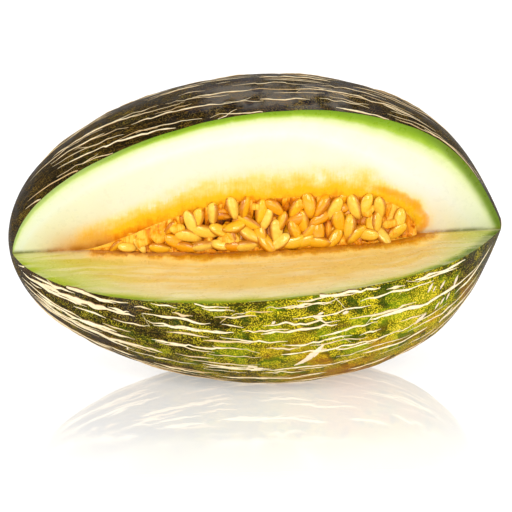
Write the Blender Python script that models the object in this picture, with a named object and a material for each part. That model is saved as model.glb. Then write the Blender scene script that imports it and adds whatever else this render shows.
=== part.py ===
"""A piel de sapo melon lying on its side, with one long slice cut out of its front.

The long axis runs along X, from the blossom end at -X to the stem end at +X. The cut faces
the front, -Y. The melon rests at z = 0 on a small flat spot, and the origin lies on that spot,
straight below the long axis at the widest section.

An angle in a cross-section is measured round the long axis: 0 is the front, 90 the top,
180 the back and 270 the bottom.
"""

import math
import random

import bmesh
import bpy
from mathutils import Matrix, Vector

# Driving dimensions, in metres
MAX_RADIUS = 0.0796
BLOSSOM_LENGTH = 0.1339
STEM_LENGTH = 0.1191
BLOSSOM_POWER = 1.83
BLOSSOM_DROOP = 0.0026
BLOSSOM_DROOP_POWER = 4
STEM_NECK = 0.62
STEM_NECK_POWER = 10
OUT_OF_ROUND = 0.015
BULGE_ANGLE = math.radians(225)
LOBES = 10
LOBE_DEPTH = 0.004
FLAT_DEPTH = 0.0020
AXIS_HEIGHT = MAX_RADIUS - FLAT_DEPTH

# The slice: two knife cuts that meet along one line near the long axis. Each line end is
# (x, distance to the front, height over the axis), and the knife turned a little on its way
# from the blossom end to the stem end, so each cut has an angle at either end.
CUT_LINE_BLOSSOM = Vector((-0.132, 0.0169, -0.0053))
CUT_LINE_STEM = Vector((0.117, 0.0038, -0.0016))
UPPER_CUT_ANGLES = (math.radians(63.6), math.radians(72.9))
LOWER_CUT_ANGLES = (math.radians(-16.1), math.radians(-1.2))
CUT_REACH = 0.2
CUT_END_MARGIN = 0.010
CUT_STATIONS = 24

# The seed cavity, a spindle with a slender tail towards the blossom end. Its centre lies behind
# and above the line where the cuts meet.
CAVITY_RADIUS = 0.0208
CAVITY_CENTRE = -0.010
CAVITY_HALF_LENGTH = 0.085
CAVITY_SHIFT = Vector((-0.30, 0.52))
CAVITY_BLOSSOM_TAPER = 1.6
CAVITY_STEM_POWER = 4
GAP = 0.0005

# Mesh fineness
BODY_STATIONS = 26
BODY_COLUMNS = 44
CAVITY_STATIONS = 16
CAVITY_COLUMNS = 24

# The raised corky net: lines that run from end to end along the rind
NET_SEED = 11
NET_ROWS = 32
NET_FROM = -0.121
NET_TO = 0.106
NET_LENGTH = (0.018, 0.066)
NET_BREAK = (0.006, 0.030)
NET_STEP = 0.0135
NET_ROW_JITTER = 0.25
NET_WANDER = 0.0013
NET_DRIFT = 0.3
NET_HALF_WIDTH = 0.0021
NET_RISE = 0.0006
NET_ROOT = 0.0011
NET_BLUNT_END = 0.45
NET_THIN_RADIUS = 0.045

# The seeds. In the top row they hang nearly upright, and below it they lie any way up.
SEED_SEED = 5
SEED_LENGTH = 0.0130
SEED_WIDTH = 0.0066
SEED_THICKNESS = 0.0036
SEED_PITCH = 0.0074
SEED_ROW_PITCH = 0.0070
SEED_STANDS_OUT = 0.0011
SEED_JITTER_ALONG = 0.3
SEED_JITTER_ACROSS = 0.22
SEED_TOP_LEAN = 0.4
SEED_LEAN = 1.3
SEED_BOTTOM_LEAN = 0.5
SEED_TIP_OUT = 0.25
SEED_ROLL = 0.9
SEED_FROM = -0.083
SEED_TO = 0.068
SEED_SIDES = 6
SEED_RING_PLACES = (0.28, 0.68)
SEED_RING_SIZES = (0.92, 0.96)
PULP_HOLLOW = 0.65
PULP_FRONT_STEPS = 6
PULP_BACK_STEPS = 14
SLOPE_STEP = 0.02

BODY_SHARP_ANGLE = math.radians(35)
SEED_SHARP_ANGLE = math.radians(25)

RIND = ("rind", (0.20, 0.19, 0.03, 1.0), 0.45)
PULP = ("seeds_and_pulp", (0.90, 0.50, 0.08, 1.0), 0.35)


def clear_scene():
    for obj in list(bpy.data.objects):
        bpy.data.objects.remove(obj, do_unlink=True)


def material(name, colour, roughness):
    made = bpy.data.materials.new(name)
    made.use_nodes = True
    shader = made.node_tree.nodes["Principled BSDF"]
    shader.inputs["Base Color"].default_value = colour
    shader.inputs["Roughness"].default_value = roughness
    shader.inputs["Metallic"].default_value = 0.0
    return made


def melon_radius(x):
    """The mean radius of the melon's cross-section at x."""
    if x < 0:
        u = min(1.0, -x / BLOSSOM_LENGTH)
        return MAX_RADIUS * math.sqrt(1 - u**BLOSSOM_POWER)
    u = min(1.0, x / STEM_LENGTH)
    return MAX_RADIUS * math.sqrt(1 - u * u) * (1 - STEM_NECK * u**STEM_NECK_POWER)


def axis_height(x):
    """The height of the long axis at x, which droops a little towards the blossom end."""
    return AXIS_HEIGHT - BLOSSOM_DROOP * max(0.0, -x / BLOSSOM_LENGTH) ** BLOSSOM_DROOP_POWER


def rind_point(x, angle, rise=0.0):
    """A point on the rind, or rise metres above it."""
    lobe = LOBE_DEPTH * math.cos(LOBES * angle)
    out_of_round = OUT_OF_ROUND * math.cos(2 * (angle - BULGE_ANGLE))
    radius = melon_radius(x) * (1 + out_of_round + lobe) + rise
    return Vector((x, -radius * math.cos(angle), axis_height(x) + radius * math.sin(angle)))


def cavity_radius(x, inset=0.0):
    """The radius of the seed cavity at x, made smaller by inset."""
    along = (x - CAVITY_CENTRE) / (CAVITY_HALF_LENGTH - inset)
    if along < 0:
        share = max(0.0, 1 - along * along) ** CAVITY_BLOSSOM_TAPER
    else:
        share = math.sqrt(max(0.0, 1 - along**CAVITY_STEM_POWER))
    return (CAVITY_RADIUS - inset) * share


def cut_share(x):
    """How far along the line of the cuts x lies: 0 at its blossom end, 1 at its stem end."""
    return (x - CUT_LINE_BLOSSOM.x) / (CUT_LINE_STEM.x - CUT_LINE_BLOSSOM.x)


def cut_line_point(x):
    """The point at x where the two cuts meet, as (distance to the front, height over the axis)."""
    return CUT_LINE_BLOSSOM.lerp(CUT_LINE_STEM, cut_share(x)).yz


def cut_angle(angles, x):
    return angles[0] + (angles[1] - angles[0]) * cut_share(x)


def cavity_middle(x):
    """The middle of the cavity's section at x, as (distance to the front, height over the axis)."""
    return cut_line_point(x) + CAVITY_SHIFT * cavity_radius(x)


def cavity_point(x, angle, inset=0.0):
    """A point on the wall of the seed cavity."""
    section = cavity_middle(x) + cavity_radius(x, inset) * Vector((math.cos(angle), math.sin(angle)))
    return Vector((x, -section.x, AXIS_HEIGHT + section.y))


def cosine_stations(low, high, count):
    """Places from low to high, closer together near both ends."""
    middle = (low + high) / 2
    half = (high - low) / 2
    return [middle - half * math.cos(math.pi * i / count) for i in range(count + 1)]


def mesh_object(name, points, faces):
    mesh = bpy.data.meshes.new(name)
    mesh.from_pydata([tuple(p) for p in points], [], faces)
    shape = bmesh.new()
    shape.from_mesh(mesh)
    bmesh.ops.recalc_face_normals(shape, faces=shape.faces)
    shape.to_mesh(mesh)
    shape.free()
    obj = bpy.data.objects.new(name, mesh)
    bpy.context.scene.collection.objects.link(obj)
    return obj


def closed_tube(name, rings, first_tip, last_tip):
    """A closed skin over rings of points, each with the same count, with a tip at both ends."""
    count = len(rings[0])
    points = [p for ring in rings for p in ring] + [first_tip, last_tip]
    first = len(points) - 2
    last = len(points) - 1
    final_ring = (len(rings) - 1) * count
    faces = []
    for i in range(count):
        j = (i + 1) % count
        for k in range(len(rings) - 1):
            faces.append((k * count + i, k * count + j, (k + 1) * count + j, (k + 1) * count + i))
        faces.append((first, j, i))
        faces.append((last, final_ring + i, final_ring + j))
    return mesh_object(name, points, faces)


def make_cutter(obj):
    obj.hide_render = True
    obj.display_type = "WIRE"
    return obj


def boolean(obj, operation, other):
    cut = obj.modifiers.new(operation.lower() + "_" + other.name, "BOOLEAN")
    cut.operation = operation
    cut.solver = "MANIFOLD"
    cut.object = other
    return cut


def apply_modifiers(obj):
    bpy.context.view_layer.update()
    graph = bpy.context.evaluated_depsgraph_get()
    made = bpy.data.meshes.new_from_object(obj.evaluated_get(graph))
    obj.modifiers.clear()
    obj.data = made


def drop_scraps(obj):
    """Keeps the largest body of the mesh, without the loose scraps that the knife leaves."""
    shape = bmesh.new()
    shape.from_mesh(obj.data)
    left = set(shape.verts)
    bodies = []
    while left:
        edge = [left.pop()]
        body = set(edge)
        while edge:
            near = {e.other_vert(v) for v in edge for e in v.link_edges}
            edge = list(near - body)
            body |= near
        left -= body
        bodies.append(body)
    largest = max(bodies, key=len)
    bmesh.ops.delete(shape, geom=[v for v in shape.verts if v not in largest], context="VERTS")
    shape.to_mesh(obj.data)
    shape.free()


def fuse(obj, pieces):
    """Joins the pieces to obj with one Boolean union, and removes them."""
    collection = bpy.data.collections.new(obj.name + "_pieces")
    bpy.context.scene.collection.children.link(collection)
    for piece in pieces:
        collection.objects.link(piece)
    union = obj.modifiers.new("fuse", "BOOLEAN")
    union.operation = "UNION"
    union.solver = "MANIFOLD"
    union.operand_type = "COLLECTION"
    union.collection = collection
    apply_modifiers(obj)
    for piece in pieces:
        bpy.data.objects.remove(piece, do_unlink=True)
    bpy.data.collections.remove(collection)


def whole_melon():
    """The melon before the knife, as rings of points along its axis."""
    stations = cosine_stations(-BLOSSOM_LENGTH, STEM_LENGTH, BODY_STATIONS)
    rings = []
    for x in stations[1:-1]:
        angles = [2 * math.pi * i / BODY_COLUMNS for i in range(BODY_COLUMNS)]
        rings.append([rind_point(x, angle) for angle in angles])
    blossom_tip = Vector((-BLOSSOM_LENGTH, 0, axis_height(-BLOSSOM_LENGTH)))
    stem_tip = Vector((STEM_LENGTH, 0, AXIS_HEIGHT))
    return closed_tube("melon_body", rings, blossom_tip, stem_tip)


def net_lines():
    """The raised lines of the rind, each a list of (x, angle, share of full width)."""
    draw = random.Random(NET_SEED)
    lines = []
    for row in range(NET_ROWS):
        row_angle = 2 * math.pi * (row + draw.uniform(-1, 1) * NET_ROW_JITTER) / NET_ROWS
        x = NET_FROM + draw.uniform(0, NET_LENGTH[0])
        while x < NET_TO - NET_LENGTH[0]:
            length = min(draw.uniform(*NET_LENGTH), NET_TO - x)
            steps = max(2, round(length / NET_STEP))
            drift = draw.uniform(-1, 1) * NET_WANDER * NET_DRIFT
            side = draw.uniform(-1, 1) * NET_WANDER
            crowded = row % 2 and melon_radius(x + length / 2) < NET_THIN_RADIUS
            line = []
            for i in range(steps + 1):
                here = x + length * i / steps
                side += drift + draw.uniform(-1, 1) * NET_WANDER
                share = math.sin(math.pi * (i + NET_BLUNT_END) / (steps + 2 * NET_BLUNT_END)) ** 0.5
                line.append((here, row_angle + side / melon_radius(here), share))
            if not crowded:
                lines.append(line)
            x += length + draw.uniform(*NET_BREAK)
    return lines


def net_ridge(index, line):
    """One raised line: a three-sided bar whose root is sunk in the flesh."""
    rings = []
    for x, angle, share in line:
        turn = share * NET_HALF_WIDTH / melon_radius(x)
        rings.append([
            rind_point(x, angle, NET_RISE * share),
            rind_point(x, angle - turn, -NET_ROOT),
            rind_point(x, angle + turn, -NET_ROOT),
        ])
    count = len(rings)
    points = [p for ring in rings for p in ring]
    faces = [(0, 1, 2), (3 * count - 1, 3 * count - 2, 3 * count - 3)]
    for k in range(count - 1):
        for i in range(3):
            j = (i + 1) % 3
            faces.append((3 * k + i, 3 * k + 3 + i, 3 * k + 3 + j, 3 * k + j))
    return mesh_object(f"net_ridge_{index}", points, faces)


def slice_wedge(name, inset=0.0):
    """The space of the slice: a long wedge between the two cuts, drawn in by inset."""
    low = -BLOSSOM_LENGTH - CUT_END_MARGIN
    high = STEM_LENGTH + CUT_END_MARGIN
    points = []
    for k in range(CUT_STATIONS + 1):
        x = low + (high - low) * k / CUT_STATIONS
        upper = cut_angle(UPPER_CUT_ANGLES, x)
        lower = cut_angle(LOWER_CUT_ANGLES, x)
        middle = (upper + lower) / 2
        clearance = inset / math.sin((upper - lower) / 2)
        corner = cut_line_point(x) + clearance * Vector((math.cos(middle), math.sin(middle)))
        for reach, angle in ((0, middle), (CUT_REACH, upper), (CUT_REACH, lower)):
            section = corner + reach * Vector((math.cos(angle), math.sin(angle)))
            points.append((x, -section.x, AXIS_HEIGHT + section.y))
    last = 3 * CUT_STATIONS
    faces = [(0, 1, 2), (last + 2, last + 1, last)]
    for k in range(CUT_STATIONS):
        for i in range(3):
            j = (i + 1) % 3
            faces.append((3 * k + i, 3 * k + 3 + i, 3 * k + 3 + j, 3 * k + j))
    return make_cutter(mesh_object(name, points, faces))


def spindle(name, inset=0.0):
    """The seed cavity as a closed shape, drawn in by inset."""
    half = CAVITY_HALF_LENGTH - inset
    stations = cosine_stations(CAVITY_CENTRE - half, CAVITY_CENTRE + half, CAVITY_STATIONS)
    rings = []
    for x in stations[1:-1]:
        angles = [2 * math.pi * i / CAVITY_COLUMNS for i in range(CAVITY_COLUMNS)]
        rings.append([cavity_point(x, angle, inset) for angle in angles])
    first_tip = cavity_point(stations[0], 0, inset)
    last_tip = cavity_point(stations[-1], 0, inset)
    return make_cutter(closed_tube(name, rings, first_tip, last_tip))


def floor_cutter():
    """Takes off whatever would reach below the surface that the melon rests on."""
    side = 2 * CUT_REACH
    corners = [(x * side, y * side, z) for z in (-side, 0) for x, y in ((-1, -1), (1, -1), (1, 1), (-1, 1))]
    faces = [(3, 2, 1, 0), (4, 5, 6, 7), (0, 1, 5, 4), (1, 2, 6, 5), (2, 3, 7, 6), (3, 0, 4, 7)]
    return make_cutter(mesh_object("floor_cutter", corners, faces))


def build_body():
    """Rind and flesh, grown as one piece, with the net raised on it and the slice cut out."""
    body = whole_melon()
    fuse(body, [net_ridge(i, line) for i, line in enumerate(net_lines())])
    boolean(body, "DIFFERENCE", slice_wedge("slice_cutter"))
    boolean(body, "DIFFERENCE", spindle("cavity_cutter"))
    boolean(body, "DIFFERENCE", floor_cutter())
    body.data.materials.clear()
    body.data.materials.append(material(*RIND))
    body.data.shade_smooth()
    body.data.set_sharp_from_angle(angle=BODY_SHARP_ANGLE)
    return body


def edge_of_cavity(x, angles, inset):
    """Where a cut meets the cavity's wall at x, as (front, height)."""
    start = cut_line_point(x)
    angle = cut_angle(angles, x)
    from_centre = start - cavity_middle(x)
    direction = Vector((math.cos(angle), math.sin(angle)))
    along = from_centre.dot(direction)
    reach = along * along - from_centre.length_squared + cavity_radius(x, inset) ** 2
    return start + direction * (math.sqrt(max(0.0, reach)) - along)


def pulp_front(x, share):
    """A point on the open front of the pulp: share 0 is its lower edge and 1 its upper edge."""
    start = cut_line_point(x)
    low = edge_of_cavity(x, LOWER_CUT_ANGLES, GAP)
    high = edge_of_cavity(x, UPPER_CUT_ANGLES, GAP)
    pulled = start.lerp((low + high) / 2, PULP_HOLLOW)
    return (1 - share) ** 2 * low + 2 * share * (1 - share) * pulled + share**2 * high


def build_pulp():
    """The wet pulp that fills the cavity, with a hollowed front where the slice was."""
    half = CAVITY_HALF_LENGTH - GAP
    stations = cosine_stations(CAVITY_CENTRE - half, CAVITY_CENTRE + half, CAVITY_STATIONS)
    rings = []
    for x in stations[1:-1]:
        front = [pulp_front(x, i / PULP_FRONT_STEPS) for i in range(PULP_FRONT_STEPS + 1)]
        low = front[0] - cavity_middle(x)
        high = front[-1] - cavity_middle(x)
        start = math.atan2(high.y, high.x)
        end = math.atan2(low.y, low.x) + 2 * math.pi
        ring = [Vector((x, -p.x, AXIS_HEIGHT + p.y)) for p in front]
        for i in range(1, PULP_BACK_STEPS):
            ring.append(cavity_point(x, start + (end - start) * i / PULP_BACK_STEPS, GAP))
        rings.append(ring)
    first_tip = cavity_point(stations[0], 0, GAP)
    last_tip = cavity_point(stations[-1], 0, GAP)
    return closed_tube("seed_cluster", rings, first_tip, last_tip)


def seed_places():
    """Where each seed lies on the pulp's front: its centre, its long axis and its flat side's normal."""
    draw = random.Random(SEED_SEED)
    columns = round((SEED_TO - SEED_FROM) / SEED_PITCH)
    places = []
    for column in range(columns):
        x = SEED_FROM + (column + 0.5) * (SEED_TO - SEED_FROM) / columns
        height = (pulp_front(x, 1) - pulp_front(x, 0)).length
        rows = max(1, round(height / SEED_ROW_PITCH))
        for row in range(rows):
            share = (row + 0.5 + draw.uniform(-1, 1) * SEED_JITTER_ACROSS) / rows
            here = x + draw.uniform(-1, 1) * SEED_JITTER_ALONG * SEED_PITCH
            lean = draw.gauss(0, SEED_TOP_LEAN) if row == rows - 1 else draw.uniform(-1, 1) * SEED_LEAN
            if row == 0:
                lean += math.copysign(SEED_BOTTOM_LEAN, lean)
            point = pulp_front(here, share)
            ahead = pulp_front(here, share + SLOPE_STEP) - pulp_front(here, share - SLOPE_STEP)
            along = Vector((1, 0, 0))
            up = Vector((0, -ahead.x, ahead.y)).normalized()
            out = along.cross(up)
            tip_out = draw.uniform(-1, 1) * SEED_TIP_OUT
            long_axis = (up * math.cos(lean) + along * math.sin(lean) + out * tip_out).normalized()
            roll = Matrix.Rotation(draw.uniform(-1, 1) * SEED_ROLL, 3, long_axis)
            flat = roll @ (out - long_axis * out.dot(long_axis)).normalized()
            centre = Vector((here, -point.x, AXIS_HEIGHT + point.y)) + out * SEED_STANDS_OUT
            places.append((centre, long_axis, flat))
    return places


def build_seed(index, centre, long_axis, flat):
    """One seed: a flat almond, pointed at one end."""
    across = long_axis.cross(flat)
    rings = []
    for place, swell in zip(SEED_RING_PLACES, SEED_RING_SIZES):
        middle = centre + long_axis * SEED_LENGTH * (place - 0.5)
        ring = []
        for i in range(SEED_SIDES):
            turn = 2 * math.pi * i / SEED_SIDES
            wide = across * (math.cos(turn) * SEED_WIDTH / 2 * swell)
            thick = flat * (math.sin(turn) * SEED_THICKNESS / 2 * swell)
            ring.append(middle + wide + thick)
        rings.append(ring)
    first_tip = centre - long_axis * SEED_LENGTH / 2
    last_tip = centre + long_axis * SEED_LENGTH / 2
    return closed_tube(f"seed_{index}", rings, first_tip, last_tip)


def build_seed_cluster():
    """The pulp with its seeds fused to it, kept clear of the flesh by the gap."""
    cluster = build_pulp()
    fuse(cluster, [build_seed(i, *place) for i, place in enumerate(seed_places())])
    room = spindle("seed_room", GAP)
    boolean(room, "UNION", slice_wedge("seed_room_front", GAP))
    boolean(cluster, "INTERSECT", room)
    apply_modifiers(cluster)
    drop_scraps(cluster)
    cluster.data.materials.clear()
    cluster.data.materials.append(material(*PULP))
    cluster.data.shade_smooth()
    cluster.data.set_sharp_from_angle(angle=SEED_SHARP_ANGLE)
    return cluster


def main():
    clear_scene()
    build_body()
    build_seed_cluster()


main()
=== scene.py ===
"""The looks of a piel de sapo melon lying on its side, with one long slice cut out of its front.

The long axis runs along X, from the blossom end at -X to the stem end at +X. A place on the
rind is given by x and the angle round the long axis: 0 is the front, 90 the top, 180 the back
and 270 the bottom. A place in a cross-section is given as (distance to the front, height over
the axis). Everything is in metres, and all draws are seeded.
"""

import math
import random

import bmesh
import bpy
import numpy as np
from mathutils import Matrix, Vector


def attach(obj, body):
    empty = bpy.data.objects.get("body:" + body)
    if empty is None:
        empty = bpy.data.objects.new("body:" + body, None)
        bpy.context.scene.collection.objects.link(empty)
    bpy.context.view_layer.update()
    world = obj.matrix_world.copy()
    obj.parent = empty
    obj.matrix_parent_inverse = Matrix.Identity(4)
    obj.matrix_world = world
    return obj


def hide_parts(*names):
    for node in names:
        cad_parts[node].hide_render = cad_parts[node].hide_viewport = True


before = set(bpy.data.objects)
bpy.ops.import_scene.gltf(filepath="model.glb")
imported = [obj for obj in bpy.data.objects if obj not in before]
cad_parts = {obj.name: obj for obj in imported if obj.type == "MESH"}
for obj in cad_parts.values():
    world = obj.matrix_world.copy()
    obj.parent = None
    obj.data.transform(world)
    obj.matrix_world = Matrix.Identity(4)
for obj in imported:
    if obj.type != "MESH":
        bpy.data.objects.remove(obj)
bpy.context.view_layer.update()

# The fruit's form, as in the solids
MAX_RADIUS = 0.0796
BLOSSOM_LENGTH = 0.1339
STEM_LENGTH = 0.1191
BLOSSOM_POWER = 1.83
BLOSSOM_DROOP = 0.0026
BLOSSOM_DROOP_POWER = 4
STEM_NECK = 0.62
STEM_NECK_POWER = 10
OUT_OF_ROUND = 0.015
BULGE_ANGLE = math.radians(225)
LOBES = 10
LOBE_DEPTH = 0.004
AXIS_HEIGHT = 0.0776

CUT_LINE_BLOSSOM = np.array((-0.132, 0.0169, -0.0053))
CUT_LINE_STEM = np.array((0.117, 0.0038, -0.0016))
UPPER_CUT = (math.radians(63.6), math.radians(72.9))
LOWER_CUT = (math.radians(-16.1), math.radians(-1.2))
CUT_REACH = 0.2

CAVITY_RADIUS = 0.0208
CAVITY_CENTRE = -0.010
CAVITY_HALF_LENGTH = 0.085
CAVITY_SHIFT = np.array((-0.30, 0.52))
CAVITY_BLOSSOM_TAPER = 1.6
CAVITY_STEM_POWER = 4
GAP = 0.0005
PULP_HOLLOW = 0.65
HALVINGS = 40

# The raised net: the lines of the solids
NET_SEED = 11
NET_ROWS = 32
NET_FROM = -0.121
NET_TO = 0.106
NET_LENGTH = (0.018, 0.066)
NET_BREAK = (0.006, 0.030)
NET_STEP = 0.0135
NET_ROW_JITTER = 0.25
NET_WANDER = 0.0013
NET_DRIFT = 0.3
NET_BLUNT_END = 0.45
NET_THIN_RADIUS = 0.045
NET_RISE = 0.0006

# The seeds of the solids
SEED_SEED = 5
SEED_LENGTH = 0.0130
SEED_WIDTH = 0.0066
SEED_THICKNESS = 0.0036
SEED_PITCH = 0.0074
SEED_ROW_PITCH = 0.0070
SEED_STANDS_OUT = 0.0011
SEED_JITTER_ALONG = 0.3
SEED_JITTER_ACROSS = 0.22
SEED_TOP_LEAN = 0.4
SEED_LEAN = 1.3
SEED_BOTTOM_LEAN = 0.5
SEED_TIP_OUT = 0.25
SEED_ROLL = 0.9
SEED_FROM = -0.083
SEED_TO = 0.068
SLOPE_STEP = 0.02


# The form of the fruit


def melon_radius(x):
    """The mean radius of the melon's cross-section at x."""
    blossom = np.clip(-np.asarray(x) / BLOSSOM_LENGTH, 0, 1)
    stem = np.clip(np.asarray(x) / STEM_LENGTH, 0, 1)
    neck = 1 - STEM_NECK * stem**STEM_NECK_POWER
    return MAX_RADIUS * np.sqrt(1 - blossom**BLOSSOM_POWER) * np.sqrt(1 - stem**2) * neck


def droop(x):
    """How far the long axis hangs down at x."""
    return BLOSSOM_DROOP * np.clip(-np.asarray(x) / BLOSSOM_LENGTH, 0, 1) ** BLOSSOM_DROOP_POWER


def section_radius(x, angle):
    """The radius of the rind without its swells."""
    out_of_round = OUT_OF_ROUND * np.cos(2 * (angle - BULGE_ANGLE))
    return melon_radius(x) * (1 + out_of_round + LOBE_DEPTH * np.cos(LOBES * angle))


def swells(seed, count, shortest, longest):
    """Random low waves in space: (wave vector, phase) for each."""
    draw = random.Random(seed)
    waves = []
    for _ in range(count):
        way = Vector((draw.gauss(0, 1), draw.gauss(0, 1), draw.gauss(0, 1))).normalized()
        length = draw.uniform(shortest, longest)
        waves.append((np.array(way) * 2 * math.pi / length, draw.uniform(0, 2 * math.pi)))
    return waves


def sum_of(waves, places):
    """The waves' mean height at each place, about -1 to 1."""
    total = sum(np.sin(places @ way + phase) for way, phase in waves)
    return total / math.sqrt(len(waves))


RIND_SWELLS = swells(seed=3, count=14, shortest=0.012, longest=0.034)
RIND_SWELL_HEIGHT = 0.00018
RIND_SWELL_FULL_AT = 0.02


def rind_point(x, angle, rise=0.0):
    """Points on the rind, or rise metres over it. The fruit rests on a small flat spot."""
    x, angle, rise = np.broadcast_arrays(np.asarray(x, float), angle, rise)
    radius = section_radius(x, angle)
    smooth = np.stack((x, -radius * np.cos(angle), radius * np.sin(angle)), -1)
    fade = np.clip(radius / RIND_SWELL_FULL_AT, 0, 1)
    radius = radius + rise + RIND_SWELL_HEIGHT * fade * sum_of(RIND_SWELLS, smooth)
    height = AXIS_HEIGHT - droop(x) + radius * np.sin(angle)
    return np.stack((x, -radius * np.cos(angle), np.maximum(height, 0.0)), -1)


def cut_share(x):
    """How far along the line of the cuts x lies: 0 at its blossom end, 1 at its stem end."""
    return (np.asarray(x) - CUT_LINE_BLOSSOM[0]) / (CUT_LINE_STEM[0] - CUT_LINE_BLOSSOM[0])


def cut_line_point(x):
    """Where the two cuts meet at x."""
    return CUT_LINE_BLOSSOM[1:] + cut_share(x)[..., None] * (CUT_LINE_STEM - CUT_LINE_BLOSSOM)[1:]


def cut_way(cut, x):
    """The direction in which a cut runs from the line of the cuts to the rind."""
    angle = cut[0] + (cut[1] - cut[0]) * cut_share(x)
    return np.stack((np.cos(angle), np.sin(angle)), -1)


def rim_angle(x, cut):
    """The angle round the axis at which a cut leaves the rind."""
    x = np.asarray(x, float)
    start = cut_line_point(x) + np.stack((0 * x, droop(x)), -1)
    way = cut_way(cut, x)
    low = np.zeros_like(x)
    high = np.full_like(x, CUT_REACH)
    for _ in range(HALVINGS):
        middle = (low + high) / 2
        point = start + middle[..., None] * way
        angle = np.arctan2(point[..., 1], point[..., 0])
        inside = np.hypot(point[..., 0], point[..., 1]) < section_radius(x, angle)
        low = np.where(inside, middle, low)
        high = np.where(inside, high, middle)
    point = start + low[..., None] * way
    return np.arctan2(point[..., 1], point[..., 0])


def line_leaves_rind(inside, outside):
    """The x between two others at which the line of the cuts comes out of the rind."""
    for _ in range(HALVINGS):
        x = (inside + outside) / 2
        front, height = cut_line_point(x) + np.array((0, droop(x)))
        if math.hypot(front, height) < section_radius(x, math.atan2(height, front)):
            inside = x
        else:
            outside = x
    return inside


CUT_FROM = line_leaves_rind(-0.1, -BLOSSOM_LENGTH)
CUT_TO = line_leaves_rind(0.1, STEM_LENGTH)
CAVITY_FROM = CAVITY_CENTRE - CAVITY_HALF_LENGTH
CAVITY_TO = CAVITY_CENTRE + CAVITY_HALF_LENGTH


def cavity_radius(x, inset=0.0):
    """The radius of the seed cavity: a long taper to the blossom end, blunt at the stem end."""
    along = (np.asarray(x) - CAVITY_CENTRE) / (CAVITY_HALF_LENGTH - inset)
    tail = np.clip(1 - along**2, 0, 1) ** CAVITY_BLOSSOM_TAPER
    blunt = np.sqrt(np.clip(1 - np.abs(along) ** CAVITY_STEM_POWER, 0, 1))
    return (CAVITY_RADIUS - inset) * np.where(along < 0, tail, blunt)


def cavity_middle(x):
    """The middle of the seed cavity at x, as (distance to the front, height over the axis)."""
    return cut_line_point(x) + CAVITY_SHIFT * cavity_radius(x)[..., None]


def edge_of_cavity(x, cut, inset=0.0):
    """Where a cut meets the cavity's wall at x."""
    start = cut_line_point(x)
    way = cut_way(cut, x)
    offset = start - cavity_middle(x)
    along = (offset * way).sum(-1)
    reach = along**2 - (offset**2).sum(-1) + cavity_radius(x, inset) ** 2
    return start + way * np.maximum(np.sqrt(np.clip(reach, 0, None)) - along, 0)[..., None]


def pulp_front(x, share, inset=GAP):
    """A place on the open front of the pulp: share 0 is its lower edge and 1 its upper edge."""
    start = cut_line_point(x)
    low = edge_of_cavity(x, LOWER_CUT, inset)
    high = edge_of_cavity(x, UPPER_CUT, inset)
    pulled = start + PULP_HOLLOW * ((low + high) / 2 - start)
    share = np.asarray(share)[..., None]
    return (1 - share) ** 2 * low + 2 * share * (1 - share) * pulled + share**2 * high


def in_space(x, section):
    """Points in space from x and places in the cross-section."""
    section = np.asarray(section)
    x = np.broadcast_to(x, section.shape[:-1])
    return np.stack((x, -section[..., 0], AXIS_HEIGHT + section[..., 1]), -1)


def smooth_step(value, low, high):
    """0 up to low and 1 from high, with a soft way between them."""
    share = np.clip((np.asarray(value) - low) / (high - low), 0, 1)
    return share * share * (3 - 2 * share)


def band(value, rise, fall):
    """1 between two pairs of limits and 0 beyond them: it rises in the first, falls in the second."""
    return smooth_step(value, *rise) * (1 - smooth_step(value, *fall))


def degrees_round(angle):
    """The angle round the axis in degrees, 0 to 360."""
    return np.degrees(np.mod(angle, 2 * np.pi))


def stations(low, high, count, snapped=()):
    """Places from low to high, closer near both ends, some of them moved onto an edge."""
    places = (low + high) / 2 - (high - low) / 2 * np.cos(np.pi * np.arange(count + 1) / count)
    for edge in snapped:
        places[np.abs(places - edge).argmin()] = edge
    return places


# Meshes

WELD_DISTANCE = 2e-6


def grid_faces(rows, columns, first=0, closed=False):
    """Quads over a grid of points, facing out where the columns run round by growing angle."""
    steps = columns if closed else columns - 1
    i, j = np.meshgrid(np.arange(rows - 1), np.arange(steps), indexing="ij")
    k = (j + 1) % columns
    corners = (i * columns + j, (i + 1) * columns + j, (i + 1) * columns + k, i * columns + k)
    return (first + np.stack(corners, -1).reshape(-1, 4)).tolist()


def add_piece(name, points, faces, look, node, marks, weld=True, turn_out=False):
    """Makes one piece of the fruit. marks are its point attributes by name."""
    mesh = bpy.data.meshes.new(name)
    mesh.from_pydata(np.asarray(points).reshape(-1, 3).tolist(), [], faces)
    for key, values in marks.items():
        values = np.asarray(values, np.float32)
        if values.ndim > 1 and values.shape[-1] == 3:
            made = mesh.attributes.new(key, "FLOAT_VECTOR", "POINT")
            made.data.foreach_set("vector", values.ravel())
        else:
            made = mesh.attributes.new(key, "FLOAT", "POINT")
            made.data.foreach_set("value", values.ravel())
    shape = bmesh.new()
    shape.from_mesh(mesh)
    if weld:
        bmesh.ops.remove_doubles(shape, verts=shape.verts, dist=WELD_DISTANCE)
        loose = [v for v in shape.verts if not v.link_faces]
        bmesh.ops.delete(shape, geom=loose, context="VERTS")
    if turn_out:
        bmesh.ops.recalc_face_normals(shape, faces=shape.faces)
    shape.to_mesh(mesh)
    shape.free()
    mesh.shade_smooth()
    mesh.materials.append(look)
    piece = bpy.data.objects.new(name, mesh)
    bpy.context.scene.collection.objects.link(piece)
    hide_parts(node)
    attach(piece, "root")


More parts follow.
